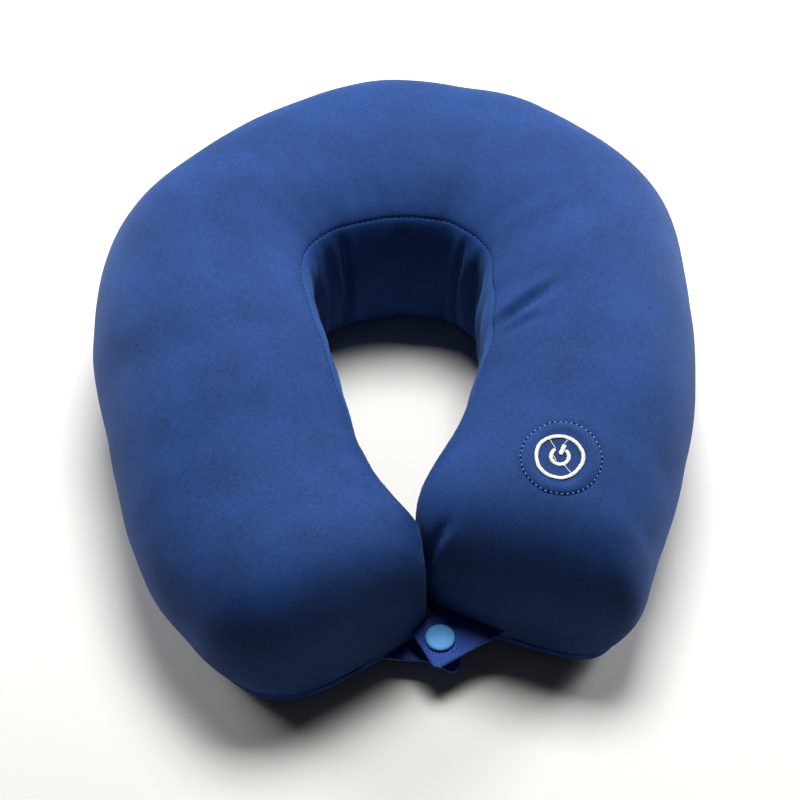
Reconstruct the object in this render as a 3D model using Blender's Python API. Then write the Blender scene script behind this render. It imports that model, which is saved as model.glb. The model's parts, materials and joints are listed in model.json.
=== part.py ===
"""U shaped neck pillow with a battery massager: a soft ring of three bodies, a zip, a snap and a switch.

All sizes below are in millimetres; the objects are made in metres. The pillow stands on z = 0, with
+X to its right, +Y to the back of the neck and +Z up. The two arms meet at the front (-Y).
"""
import math

import bmesh
import bpy
import numpy as np
from mathutils import Matrix, Vector

MM = 0.001

# The tube of the pillow. Each rib is a vertical section through the tube, from the tip of the left
# arm round the back to the tip of the right arm: inner edge x, y, outer edge x, y, and height.
RIBS = (
    (25, -127, -72, -183, 88),
    (-1, -92, -103, -152, 90),
    (-20, -59, -126, -111, 93),
    (-29, -20, -141, -49, 102),
    (-40, 15, -152, 11, 106),
    (-41, 36, -140, 77, 106),
    (-27, 48, -88, 130, 106),
    (-7, 53, -34, 165, 106),
    (13, 54, 29, 169, 106),
    (31, 48, 93, 145, 106),
    (45, 33, 145, 86, 106),
    (46, 7, 150, 11, 106),
    (40, -24, 143, -47, 104),
    (21, -59, 129, -99, 99),
    (5, -91, 117, -134, 95),
    (-6, -123, 104, -169, 91),
)
TIP_LENGTH = 46.0          # stretch over which each arm rounds off to its tip
TIP_POWER = 2.9            # a higher power gives a blunter tip
TIP_STUB = 0.12            # the part of the section that is left at the very tip
SEAM_HEIGHT = 15.0         # height of the low seam at the tips

# The section of the tube as fractions of half its width (-1 inner, 1 outer) and of its height.
TOP_SECTION = ((0.84, 0.13), (0.99, 0.40), (0.93, 0.68), (0.66, 0.91), (0.18, 1.0), (-0.34, 0.985),
               (-0.72, 0.91), (-0.93, 0.80))
GUSSET_SECTION = ((-0.93, 0.80), (-1.0, 0.56), (-1.0, 0.30), (-0.95, 0.12))
BOTTOM_SECTION = ((-0.95, 0.12), (-0.76, 0.02), (-0.35, 0.0), (0.35, 0.0), (0.68, 0.03), (0.84, 0.13))
TOP_POINTS = 11
GUSSET_POINTS = 4
BOTTOM_POINTS = 6

FABRIC = 1.0               # thickness of the cover's knitted fabric
FILLING_INSET = 2.0        # depth of the filling's surface below the outside of the cover
GAP = 0.3                  # clearance between neighbouring pieces

# The two arms press against each other on this upright plane.
CONTACT_POINT = (5.0, -92.0)
CONTACT_DIRECTION = (0.107, -0.994)
CONTACT_GAP = 0.4

# Shoulders, where the arms turn: axis x, y and the radius of the knuckle round it.
LEFT_SHOULDER = (-96.0, 13.0)
LEFT_KNUCKLE = 57.5
RIGHT_SHOULDER = (98.0, 9.0)
RIGHT_KNUCKLE = 53.5
KNUCKLE_GAP = 0.5
SHOULDER_SWING = 22.0      # room for the arms' opening, in degrees
KNUCKLE_STEPS = 24

# The zip at the back of the neck, on an arc round an upright axis.
ZIP_CENTRE = (4.0, 30.0)
ZIP_RADIUS = 138.6
ZIP_HEIGHT = 42.0
ZIP_HALF_ANGLE = 20.0
ZIP_SLOT = 4.8             # half the height of the slot in the cover
ZIP_REST_ANGLE = 107.5     # the slider's place when the zip is closed
ZIP_STEP = 2.5             # degrees between the points of an arc

# The massager's case stands upright in the filling behind the zip.
CASE_CENTRE = (2.0, 100.0, 42.0)
CASE_SIZE = (104.0, 20.0, 34.0)
CASE_WALL = 1.6
CASE_CORNER = 4.0
CASE_PARTING = 2.0         # y of the joint between base and cover, from the case's centre
POCKET_MARGIN = 0.8
CELL_RADIUS = 7.1
CELL_LENGTH = 50.5
CELL_START = -44.0
CELL_OFFSET = 7.4
DOOR_TRAVEL = 12.0
SCREW_PLACE = (48.8, 13.8)
MOTOR_START = 12.0
MOTOR_LENGTH = 20.0
MOTOR_RADIUS = 6.0

# The power button on the right arm.
BUTTON_PLACE = (71.5, -97.0)
BUTTON_HOLE = 14.0
HOUSING_RADIUS = 14.6
HOUSING_TOP = -4.2
HOUSING_BOTTOM = -24.0
CABLE_RADIUS = 1.4
TUNNEL_RADIUS = 2.2

# The snap at the front, which holds the arms together.
SNAP_PLACE = (14.4, -145.8)
TAB_WIDTH = 25.0
TAB_THICKNESS = 1.6
UPPER_TAB_DIRECTION = (-0.884, -0.468)
UPPER_TAB_BOTTOM = 19.8
UPPER_TAB_HINGE = (31.0, -139.0)
LOWER_TAB_DIRECTION = (0.999, 0.045)
LOWER_TAB_BOTTOM = 11.0
LOWER_TAB_HINGE = (-6.0, -143.0)
TAB_END = 10.0             # from the snap to the end of each tab
UPPER_TAB_ROOT = 48.0      # from the snap back into the arm, before the arm is cut away
LOWER_TAB_ROOT = 33.0
TAB_CLEARANCE = 1.4
SNAP_CAP_RADIUS = 7.15


def clear_scene():
    for item in list(bpy.data.objects):
        bpy.data.objects.remove(item, do_unlink=True)


def make_material(name, colour, roughness, metallic=0.0):
    material = bpy.data.materials.new(name)
    material.use_nodes = True
    shader = material.node_tree.nodes["Principled BSDF"]
    shader.inputs["Base Color"].default_value = (*colour, 1.0)
    shader.inputs["Roughness"].default_value = roughness
    shader.inputs["Metallic"].default_value = metallic
    material.diffuse_color = (*colour, 1.0)
    return material


def make_object(name, points, faces, material, matrix=None, smooth=True):
    """A named object from points in millimetres, placed by a matrix whose offset is in metres."""
    mesh = bpy.data.meshes.new(name)
    mesh.from_pydata([Vector(point) * MM for point in points], [], faces)
    work = bmesh.new()
    work.from_mesh(mesh)
    bmesh.ops.recalc_face_normals(work, faces=work.faces)
    work.to_mesh(mesh)
    work.free()
    if smooth:
        mesh.shade_smooth()
        mesh.set_sharp_from_angle(angle=math.radians(35))
    thing = bpy.data.objects.new(name, mesh)
    bpy.context.collection.objects.link(thing)
    if matrix is not None:
        thing.matrix_world = matrix
    if material is not None:
        mesh.materials.append(material)
    return thing


def as_cutter(thing):
    thing.hide_render = True
    thing.display_type = "WIRE"
    return thing


def combine(target, cutter, operation="DIFFERENCE"):
    modifier = target.modifiers.new(cutter.name, "BOOLEAN")
    modifier.operation = operation
    modifier.solver = "EXACT"
    modifier.object = as_cutter(cutter)


def frame_at(place, z_axis=(0, 0, 1), x_axis=(1, 0, 0)):
    """A matrix with its origin at a place in millimetres and its Z along z_axis."""
    up = Vector(z_axis).normalized()
    side = Vector(x_axis)
    side = (side - up * side.dot(up)).normalized()
    turn = Matrix((side, up.cross(side), up)).transposed().to_4x4()
    return Matrix.Translation(Vector(place) * MM) @ turn


# Shapes that the pieces share.

def prism(name, outline, low, high, material=None, matrix=None):
    """An outline in x, y carried from z = low to z = high."""
    count = len(outline)
    points = [(x, y, low) for x, y in outline] + [(x, y, high) for x, y in outline]
    faces = [tuple(range(count)), tuple(range(count, 2 * count))]
    for i in range(count):
        j = (i + 1) % count
        faces.append((i, j, j + count, i + count))
    return make_object(name, points, faces, material, matrix)


def arc_points(centre, radius, start, end, steps):
    angles = np.radians(np.linspace(start, end, steps + 1))
    return [(centre[0] + radius * math.cos(a), centre[1] + radius * math.sin(a)) for a in angles]


def rounded_rectangle(half_x, half_y, corner, steps=3):
    outline = []
    for quarter, (sx, sy) in enumerate(((1, 1), (-1, 1), (-1, -1), (1, -1))):
        centre = (sx * (half_x - corner), sy * (half_y - corner))
        outline += arc_points(centre, corner, 90 * quarter, 90 * quarter + 90, steps)
    return outline


def rectangle(low_x, low_y, high_x, high_y):
    return [(low_x, low_y), (high_x, low_y), (high_x, high_y), (low_x, high_y)]


def turned(name, profile, segments, material=None, matrix=None):
    """A profile of (radius, z) turned round Z. It is closed on itself unless it starts at radius 0."""
    solid = profile[0][0] == 0
    points = []
    rings = []
    for radius, z in profile:
        if radius == 0:
            rings.append([len(points)] * segments)
            points.append((0.0, 0.0, z))
            continue
        rings.append(list(range(len(points), len(points) + segments)))
        for k in range(segments):
            angle = 2 * math.pi * k / segments
            points.append((radius * math.cos(angle), radius * math.sin(angle), z))
    faces = []
    last = len(rings) - 1 if solid else len(rings)
    for i in range(last):
        lower = rings[i]
        upper = rings[(i + 1) % len(rings)]
        for k in range(segments):
            n = (k + 1) % segments
            corners = (lower[k], lower[n], upper[n], upper[k])
            faces.append(tuple(dict.fromkeys(corners)))
    return make_object(name, points, faces, material, matrix)


def cylinder(name, radius, low, high, segments, material=None, matrix=None):
    profile = ((0, low), (radius, low), (radius, high), (0, high))
    return turned(name, profile, segments, material, matrix)


def swept(name, path, radius, sides, material=None, matrix=None):
    """A round bar along a path, with flat ends."""
    path = [Vector(point) for point in path]
    points = []
    side = None
    for i, place in enumerate(path):
        along = (path[min(i + 1, len(path) - 1)] - path[max(i - 1, 0)]).normalized()
        if side is None:
            side = along.orthogonal().normalized()
        side = (side - along * side.dot(along)).normalized()
        other = along.cross(side)
        for k in range(sides):
            angle = 2 * math.pi * k / sides
            points.append(place + (side * math.cos(angle) + other * math.sin(angle)) * radius)
    faces = [tuple(range(sides)), tuple(range(len(points) - sides, len(points)))]
    for i in range(len(path) - 1):
        for k in range(sides):
            n = (k + 1) % sides
            a = i * sides
            b = a + sides
            faces.append((a + k, a + n, b + n, b + k))
    return make_object(name, points, faces, material, matrix)


def arc_bar(name, radii, heights, angles, material=None, step=ZIP_STEP):
    """A bar of rectangular section on an arc round the zip's axis."""
    steps = max(2, math.ceil(abs(angles[1] - angles[0]) / step))
    outline = arc_points((0, 0), radii[1], angles[0], angles[1], steps)
    outline += arc_points((0, 0), radii[0], angles[1], angles[0], steps)
    return prism(name, outline, heights[0], heights[1], material, frame_at((*ZIP_CENTRE, ZIP_HEIGHT)))


def helix(radius, low, high, turns, per_turn=10):
    count = int(turns * per_turn)
    path = []
    for i in range(count + 1):
        angle = 2 * math.pi * i / per_turn
        z = low + (high - low) * i / count
        path.append((radius * math.cos(angle), radius * math.sin(angle), z))
    return path


def smooth_curve(points, at):
    """A Catmull-Rom curve through points, read at parameters from 0 to len(points) - 1."""
    points = np.asarray(points, float)
    at = np.atleast_1d(at)
    start = np.clip(np.floor(at).astype(int), 0, len(points) - 2)
    t = (at - start)[:, None]
    padded = np.vstack((2 * points[0] - points[1], points, 2 * points[-1] - points[-2]))
    p0, p1, p2, p3 = (padded[start + k] for k in range(4))
    return 0.5 * (2 * p1 + (p2 - p0) * t + (2 * p0 - 5 * p1 + 4 * p2 - p3) * t ** 2
                  + (3 * p1 - p0 - 3 * p2 + p3) * t ** 3)


# The pillow's tube.

SPINE_SAMPLES = 1501
spine_ribs = smooth_curve(RIBS, np.linspace(0, len(RIBS) - 1, SPINE_SAMPLES))
spine_middle = (spine_ribs[:, 0:2] + spine_ribs[:, 2:4]) / 2
spine_steps = np.hypot(*np.diff(spine_middle, axis=0).T)
spine_distance = np.concatenate(((0.0,), np.cumsum(spine_steps)))
SPINE_LENGTH = spine_distance[-1]


def rib_at(distance):
    """The rib at a distance along the spine, carried straight on past either tip."""
    inside = min(max(distance, 0.0), SPINE_LENGTH)
    rib = np.array([np.interp(inside, spine_distance, column) for column in spine_ribs.T])
    if distance != inside:
        before = inside + math.copysign(1.0, inside - distance)
        rib += (rib - rib_at(before)) * abs(distance - inside)
    return rib


def end_factor(from_tip):
    """How much of the full section is left, at a distance from the arm's tip."""
    short = min(max(1 - from_tip / TIP_LENGTH, 0.0), 1.0)
    return max((1 - short ** TIP_POWER) ** (1 / TIP_POWER), TIP_STUB)


def press_flat(point, side, inset):
    """Keep a point of the left (-1) or right (1) arm on its own side of the contact plane."""
    normal = np.array((-CONTACT_DIRECTION[1], CONTACT_DIRECTION[0])) * side
    room = (point[:2] - np.array(CONTACT_POINT)) @ normal - CONTACT_GAP - inset
    if room < 0 and point[1] < CONTACT_POINT[1] + TIP_LENGTH:
        point = point.copy()
        point[:2] -= room * normal
    return point


def tube_point(distance, lateral, height, inset):
    """A point of the tube's surface, moved in from the outside of the cover by the inset."""
    inner_x, inner_y, outer_x, outer_y, tall = rib_at(distance)
    middle = np.array((inner_x + outer_x, inner_y + outer_y)) / 2
    half = np.array((outer_x - inner_x, outer_y - inner_y)) / 2
    half *= 1 - inset / np.hypot(*half)
    left = distance < SPINE_LENGTH / 2
    from_tip = (distance if left else SPINE_LENGTH - distance) - inset
    factor = end_factor(from_tip)
    place = middle + half * lateral * factor
    z = inset + (tall - 2 * inset) * height
    z = SEAM_HEIGHT + (z - SEAM_HEIGHT) * factor
    return press_flat(np.array((*place, z)), -1 if left else 1, inset)


def section_points(section, count, trim):
    """Points along a part of the section, which stops short of its ends by a trim."""
    return smooth_curve(section, np.linspace(trim, len(section) - 1 - trim, count))


def tip_distances(inset):
    """Distances from the tip at which an arm has its sections, close together where it is round."""
    last = math.acos(TIP_STUB ** (TIP_POWER / 2))
    turns = np.linspace(last, 0, 7)
    return [TIP_LENGTH * (1 - math.sin(turn) ** (2 / TIP_POWER)) + inset for turn in turns]


def distance_of(place):
    """The distance along the spine that is nearest to a place in plan."""
    gaps = np.hypot(*(spine_middle - np.array(place)).T)
    return float(spine_distance[int(np.argmin(gaps))])


LEFT_TURN = distance_of(LEFT_SHOULDER)
RIGHT_TURN = distance_of(RIGHT_SHOULDER)
SECTION_PITCH = 17.0


def stations(body, inset):
    """The distances along the spine of a body's sections."""
    if body == "back":
        return np.arange(LEFT_TURN - 6, RIGHT_TURN + 6 + SECTION_PITCH, SECTION_PITCH)
    reach = LEFT_TURN + LEFT_KNUCKLE if body == "left" else SPINE_LENGTH - RIGHT_TURN + RIGHT_KNUCKLE
    tip = tip_distances(inset)
    rest = np.arange(TIP_LENGTH + SECTION_PITCH, reach + SECTION_PITCH + 8, SECTION_PITCH) + inset
    distances = np.concatenate((tip, rest))
    return distances if body == "left" else SPINE_LENGTH - distances


def tube_rows(body, section, inset):
    return [[tube_point(d, lateral, height, inset) for lateral, height in section]
            for d in stations(body, inset)]


def solid_tube(name, body, inset, material):
    """The whole tube of a body as one solid."""
    section = np.vstack((section_points(TOP_SECTION, TOP_POINTS, 0)[:-1],
                         section_points(GUSSET_SECTION, GUSSET_POINTS, 0)[:-1],
                         section_points(BOTTOM_SECTION, BOTTOM_POINTS, 0)[:-1]))
    rows = tube_rows(body, section, inset)
    count = len(section)
    points = [point for row in rows for point in row]
    faces = [tuple(range(count)), tuple(range(len(points) - count, len(points)))]
    for i in range(len(rows) - 1):
        for k in range(count):
            n = (k + 1) % count
            faces.append((i * count + k, i * count + n, (i + 1) * count + n, (i + 1) * count + k))
    return make_object(name, points, faces, material)


def fabric_panel(name, body, section, count, trim, material):
    """One panel of the cover: an outer and an inner surface joined all round."""
    section = section_points(section, count, trim)
    outer = tube_rows(body, section, 0.0)
    inner = tube_rows(body, section, FABRIC)
    rows = len(outer)
    points = [point for row in outer + inner for point in row]
    under = rows * count

    def at(i, k):
        return i * count + k

    faces = []
    for i in range(rows - 1):
        for k in range(count - 1):
            quad = (at(i, k), at(i, k + 1), at(i + 1, k + 1), at(i + 1, k))
            faces.append(quad)
            faces.append(tuple(under + corner for corner in reversed(quad)))
        for k in (0, count - 1):
            faces.append((at(i, k), at(i + 1, k), under + at(i + 1, k), under + at(i, k)))
    for i in (0, rows - 1):
        for k in range(count - 1):
            faces.append((at(i, k), at(i, k + 1), under + at(i, k + 1), under + at(i, k)))
    return make_object(name, points, faces, material)


def shoulder_prism(name, centre, radius, side, swing):
    """The arm's side of a shoulder: all in front of the axis, and the round knuckle behind it.

    A swing above 0 also takes in the room that the outside of the arm turns into.
    """
    far = 260.0
    x, y = centre
    outline = [(x + side * far, y - far), (x - side * 150, y - far), (x - side * 150, y)]
    arc_end = 180 - swing
    angles = np.radians(np.linspace(0, arc_end, KNUCKLE_STEPS + 1))
    outline += [(x - side * radius * math.cos(a), y + radius * math.sin(a)) for a in angles]
    if swing:
        a = math.radians(swing)
        outline.append((x + side * 90 * math.cos(a), y + 90 * math.sin(a)))
        outline.append((x + side * far, y + 90 * math.sin(a)))
    else:
        outline.append((x + side * far, y))
    return prism(name, outline, -20, 140)


def shoulder_cutters():
    cutters = {}
    for name, centre, radius, side in (("left", LEFT_SHOULDER, LEFT_KNUCKLE, -1),
                                       ("right", RIGHT_SHOULDER, RIGHT_KNUCKLE, 1)):
        cutters[name] = shoulder_prism(f"{name}_arm_keep", centre, radius, side, 0)
        gap = radius + KNUCKLE_GAP
        cutters[f"{name}_room"] = shoulder_prism(f"{name}_arm_room", centre, gap, side, SHOULDER_SWING)
    return cutters


def split_at_shoulders(thing, body, cutters):
    if body == "back":
        combine(thing, cutters["left_room"])
        combine(thing, cutters["right_room"])
    else:
        combine(thing, cutters[body], "INTERSECT")


def make_pillow(looks, cutters):
    """The filling and the three cover panels of each of the three bodies."""
    made = {}
    panels = (("top_panel", TOP_SECTION, TOP_POINTS, 0.035, looks["cover"]),
              ("neck_gusset", GUSSET_SECTION, GUSSET_POINTS, 0.02, looks["gusset"]),
              ("bottom_panel", BOTTOM_SECTION, BOTTOM_POINTS, 0.03, looks["bottom"]))
    for body in ("back", "left", "right"):
        filling = solid_tube(f"filling_{body}", body, FILLING_INSET, looks["filling"])
        split_at_shoulders(filling, body, cutters)
        made[filling.name] = filling
        for panel, section, count, trim, look in panels:
            piece = fabric_panel(f"{panel}_{body}", body, section, count, trim, look)
            split_at_shoulders(piece, body, cutters)
            made[piece.name] = piece
    return made


# The zip.

def make_zip(looks, pillow):
    low, high = 90 - ZIP_HALF_ANGLE, 90 + ZIP_HALF_ANGLE
    slot = arc_bar("zip_slot", (125, 152), (-ZIP_SLOT, ZIP_SLOT), (low - 1, high + 1))
    combine(pillow["top_panel_back"], slot)
    r = ZIP_RADIUS
    for side, name in ((1, "upper"), (-1, "lower")):
        tape = sorted((side * 2.1, side * (ZIP_SLOT - GAP)))
        coil = sorted((side * 0.7, side * 1.8))
        arc_bar(f"zip_tape_{name}", (r - 0.4, r + 0.4), tape, (low - 0.6, high + 0.6), looks["zip_tape"])
        arc_bar(f"zip_coil_{name}", (r - 0.7, r + 0.7), coil, (low + 0.8, high - 0.8), looks["zip_coil"])
    for name, angle in (("right", low), ("left", high)):
        arc_bar(f"zip_stop_{name}", (r - 0.9, r + 0.9), (-1.8, 1.8), (angle - 0.4, angle + 0.4),
                looks["zip_metal"])
    make_slider(looks)


def make_slider(looks):
    """The slider: an outer and an inner plate joined by a post between the coils, and its bridge."""
    r = ZIP_RADIUS
    middle = ZIP_REST_ANGLE
    width = 1.65               # half the slider's length, in degrees of the zip's arc
    slider = arc_bar("zip_slider", (r + 1.05, r + 2.2), (-3.4, 3.4), (middle - width, middle + width),
                     looks["zip_metal"], 1.0)
    inner = arc_bar("slider_inner_plate", (r - 2.2, r - 1.05), (-2.6, 2.6),
                    (middle - width, middle + width), None, 1.0)
    post = arc_bar("slider_post", (r - 1.6, r + 1.6), (-0.38, 0.38), (middle - 0.6, middle + 0.6), None, 1.0)
    outward = Vector((math.cos(math.radians(middle)), math.sin(math.radians(middle)), 0))
    along = Vector((0, 0, 1)).cross(outward)
    foot = Vector((*ZIP_CENTRE, ZIP_HEIGHT)) + outward * r
    arch = [foot + along * (3.0 * math.cos(a)) + outward * (1.5 + 3.2 * math.sin(a))
            for a in np.radians(np.linspace(0, 180, 9))]
    bridge = swept("slider_bridge", arch, 0.6, 6)
    for piece in (post, inner, bridge):
        combine(slider, piece, "UNION")
    pin = foot + outward * 3.3
    make_pull(looks, pin, outward, -along)


def make_pull(looks, pin, outward, toward):
    """The pull tab: a pin under the bridge, two cheeks beside it and a flat tab with a hole."""
    place = frame_at(pin, (0, 0, 1), toward)
    rise = 0.45
    outline = [(3.4, -rise), (24.0, -rise), (24.0, rise), (3.4, rise)]
    pull = prism("zip_pull", outline, -2.4, 2.4, looks["zip_metal"], place)
    for name, z in (("upper", 1.9), ("lower", -1.9)):
        cheek = prism(f"pull_cheek_{name}", rectangle(-0.5, -rise, 4.0, rise), z - 0.5, z + 0.5, None, place)
        combine(pull, cheek, "UNION")
    combine(pull, cylinder("pull_pin", 0.5, -2.1, 2.1, 8, None, place), "UNION")
    across = Matrix.Rotation(math.radians(90), 4, "X")
    hole = cylinder("pull_hole", 1.2, -2, 2, 10, None,
                    place @ Matrix.Translation(Vector((20.0, 0, 0)) * MM) @ across)
    combine(pull, hole)


# The massager.

def case_frame():
    """The case's frame: x along the case, local y down and local z out to the zip (+Y)."""
    return frame_at(CASE_CENTRE, (0, 1, 0))


def make_case(looks, pillow):
    frame = case_frame()
    half_x, half_y, half_z = (size / 2 for size in (CASE_SIZE[0], CASE_SIZE[2], CASE_SIZE[1]))
    shell = rounded_rectangle(half_x, half_y, CASE_CORNER)
    inner_x, inner_y, chamfer = half_x - CASE_WALL, half_y - CASE_WALL, 6.0
    hollow = []
    for sx, sy, first in ((1, 1, "y"), (-1, 1, "x"), (-1, -1, "y"), (1, -1, "x")):
        corners = [(sx * inner_x, sy * (inner_y - chamfer)), (sx * (inner_x - chamfer), sy * inner_y)]
        hollow += corners if first == "y" else corners[::-1]
    base = prism("massager_case_base", shell, -half_z, CASE_PARTING - GAP, looks["case"], frame)
    cover = prism("massager_case_cover", shell, CASE_PARTING, half_z, looks["case"], frame)
    space = prism("case_hollow", hollow, CASE_WALL - half_z, half_z - CASE_WALL, None, frame)
    holes = case_screws(looks, frame, half_z)
    for shell_half in (base, cover):
        combine(shell_half, space)
        for hole in holes:
            combine(shell_half, hole)
    exit_turn = Matrix.Rotation(math.radians(90), 4, "Y")
    gland = cylinder("case_cable_hole", TUNNEL_RADIUS, half_x - 4, half_x + 2, 10, None,
                     frame @ Matrix.Translation(Vector((0, 0, -3.0)) * MM) @ exit_turn)
    combine(base, gland)
    window = prism("case_window", rectangle(-45.5, -14.6, 8.0, 14.6), half_z - 3, half_z + 3, None, frame)
    combine(cover, window)
    make_door(looks, frame, cover, half_z)
    pocket_x, pocket_y = half_x + POCKET_MARGIN, half_y + POCKET_MARGIN
    pocket = prism("case_pocket", rectangle(-pocket_x - DOOR_TRAVEL, -pocket_y, pocket_x, pocket_y),
                   -half_z - POCKET_MARGIN, half_z + 4.5, None, frame)
    combine(pillow["filling_back"], pocket)
    slit = prism("case_slit", rectangle(-50, -5, 54, 5), half_z + 3, 80, None, frame)
    combine(pillow["filling_back"], slit)


def case_screws(looks, frame, half_z):
    """Four countersunk screws through the cover's corners, and the holes that they sit in."""
    holes = []
    head, shank, tip = half_z - 0.2, half_z - 2.0, -half_z + 3.0
    for i, (sx, sy) in enumerate(((1, 1), (-1, 1), (-1, -1), (1, -1))):
        place = frame @ Matrix.Translation(Vector((sx * SCREW_PLACE[0], sy * SCREW_PLACE[1], 0)) * MM)
        profile = ((0, tip), (0.9, tip), (0.9, shank), (2.0, head - 0.4), (2.0, head), (0, head))
        turned(f"case_screw_{i + 1}", profile, 10, looks["steel"], place)
        profile = ((0, tip - 1), (1.25, tip - 1), (1.25, shank - 0.3), (2.4, head - 0.5), (2.4, head + 3),
                   (0, head + 3))
        holes.append(turned(f"screw_hole_{i + 1}", profile, 10, None, place))
    return holes


def make_door(looks, frame, cover, half_z):
    """The battery door slides between two lipped rails on the cover."""
    for name, side in (("upper", 1), ("lower", -1)):
        outline = [(half_z - 1, 16.0), (half_z + 1.9, 16.0), (half_z + 1.9, 14.9), (half_z + 2.9, 14.9),
                   (half_z + 2.9, 16.9), (half_z - 1, 16.9)]
        along = frame @ Matrix(((0, 0, 1, 0), (0, side, 0, 0), (1, 0, 0, 0), (0, 0, 0, 1)))
        rail = prism(f"door_rail_{name}", outline, -47.0, 11.0, None, along)
        combine(cover, rail, "UNION")
    door = prism("battery_door", rectangle(-47.0, -15.6, 10.0, 15.6), half_z + 0.35, half_z + 1.55,
                 looks["case"], frame)
    ridge = prism("door_ridge", rectangle(-43.0, -8.0, -41.5, 8.0), half_z + 1.2, half_z + 2.6, None, frame)
    combine(door, ridge, "UNION")


def make_cells(looks):
    """Two cells side by side, each with a contact spring, and one bridge at the far end."""
    frame = case_frame() @ Matrix.Rotation(math.radians(90), 4, "Y")
    end = CELL_START + CELL_LENGTH
    for i, offset in enumerate((CELL_OFFSET, -CELL_OFFSET)):
        place = frame @ Matrix.Translation(Vector((0, offset, 0)) * MM)
        profile = ((0, CELL_START), (CELL_RADIUS, CELL_START), (CELL_RADIUS, end - 1.2), (2.6, end - 1.2),
                   (2.6, end), (0, end))
        turned(f"battery_cell_{i + 1}", profile, 16, looks["cell"], place)
        coil = helix(2.5, CELL_START - 4.7, CELL_START - GAP - 0.4, 2.5, 8)
        swept(f"battery_spring_{i + 1}", coil, 0.4, 5, looks["steel"], place)
    prism("battery_bridge", rectangle(-4.5, -11.5, 4.5, 11.5), end + GAP, end + GAP + 0.5, looks["steel"],
          frame)


def make_motor(looks):
    """A small motor whose shaft turns an eccentric weight."""
    frame = case_frame() @ Matrix.Rotation(math.radians(90), 4, "Y")
    end = MOTOR_START + MOTOR_LENGTH
    cylinder("vibration_motor", MOTOR_RADIUS, MOTOR_START, end, 16, looks["steel"], frame)
    cylinder("motor_shaft", 1.0, end + GAP, end + 12, 8, looks["steel"], frame)
    outline = arc_points((0, 0), 5.6, 90, 270, 10)
    outline += arc_points((0, 0), 1.3, 270, 90, 8)
    prism("eccentric_weight", outline, end + 2.5, end + 10, looks["brass"], frame)


# The power button and its switch in the right arm.

def surface_frame(place):
    """The point of the cover over a place in plan, and the cover's normal there."""
    best = None
    centre = distance_of(place)
    for distance in np.arange(centre - 30, centre + 30, 1.0):
        for lateral, height in section_points(TOP_SECTION, 120, 0)[30:]:
            point = tube_point(distance, lateral, height, 0.0)
            miss = np.hypot(*(point[:2] - np.array(place)))
            if best is None or miss < best[0]:
                best = (miss, distance, lateral, height, point)
    _, distance, lateral, height, point = best
    section = section_points(TOP_SECTION, 120, 0)
    near = int(np.argmin(np.hypot(section[:, 0] - lateral, section[:, 1] - height)))
    across = tube_point(distance, *section[near + 3], 0.0) - tube_point(distance, *section[near - 3], 0.0)
    along = tube_point(distance + 4, lateral, height, 0.0) - tube_point(distance - 4, lateral, height, 0.0)
    normal = Vector(across).cross(Vector(along)).normalized()
    if normal.z < 0:
        normal.negate()
    return Vector(point), normal


def make_button(looks, pillow):
    centre, normal = surface_frame(BUTTON_PLACE)
    frame = frame_at(centre, normal)
    combine(pillow["top_panel_right"], cylinder("button_hole", BUTTON_HOLE, -9, 12, 28, None, frame))
    recess = cylinder("switch_recess", HOUSING_RADIUS + 0.6, HOUSING_BOTTOM - 0.6, 14, 28, None, frame)
    combine(pillow["filling_right"], recess)
    cylinder("button_patch", BUTTON_HOLE - 0.5, -FABRIC, 0, 28, looks["cover"], frame)
    ring = ((10.25, GAP), (12.25, GAP), (11.9, 1.1), (10.6, 1.1))
    turned("embroidered_ring", ring, 28, looks["thread"], frame)
    outline = arc_points((0, 0), 5.0, 118, 422, 16)
    outline += arc_points((0, 0), 3.4, 422, 118, 16)
    prism("power_symbol_ring", outline, GAP, 1.1, looks["thread"], frame)
    prism("power_symbol_bar", rectangle(-0.8, 0.6, 0.8, 6.2), GAP, 1.1, looks["thread"], frame)
    plunger = ((0, -15.8), (2.5, -15.8), (2.5, -3.6), (11.4, -3.3), (11.4, -FABRIC - GAP),
               (0, -FABRIC - GAP))
    turned("button_plunger", plunger, 20, looks["case"], frame)
    make_switch(looks, frame)
    return centre, normal


def make_switch(looks, frame):
    inner = HOUSING_RADIUS - 1.6
    floor = HOUSING_BOTTOM + 2
    profile = ((TUNNEL_RADIUS, HOUSING_BOTTOM), (HOUSING_RADIUS, HOUSING_BOTTOM),
               (HOUSING_RADIUS, HOUSING_TOP), (inner, HOUSING_TOP), (inner, floor), (TUNNEL_RADIUS, floor))
    turned("switch_housing", profile, 24, looks["case"], frame)
    swept("switch_spring", helix(6.0, floor + 0.9, -4.5, 3.5), 0.5, 5, looks["steel"], frame)
    base = prism("tactile_switch", rectangle(-3, -3, 3, 3), floor + GAP, floor + 3.8, looks["coil"], frame)
    combine(base, cylinder("switch_actuator", 1.6, floor + 3, floor + 4.6, 10, None, frame), "UNION")


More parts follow.
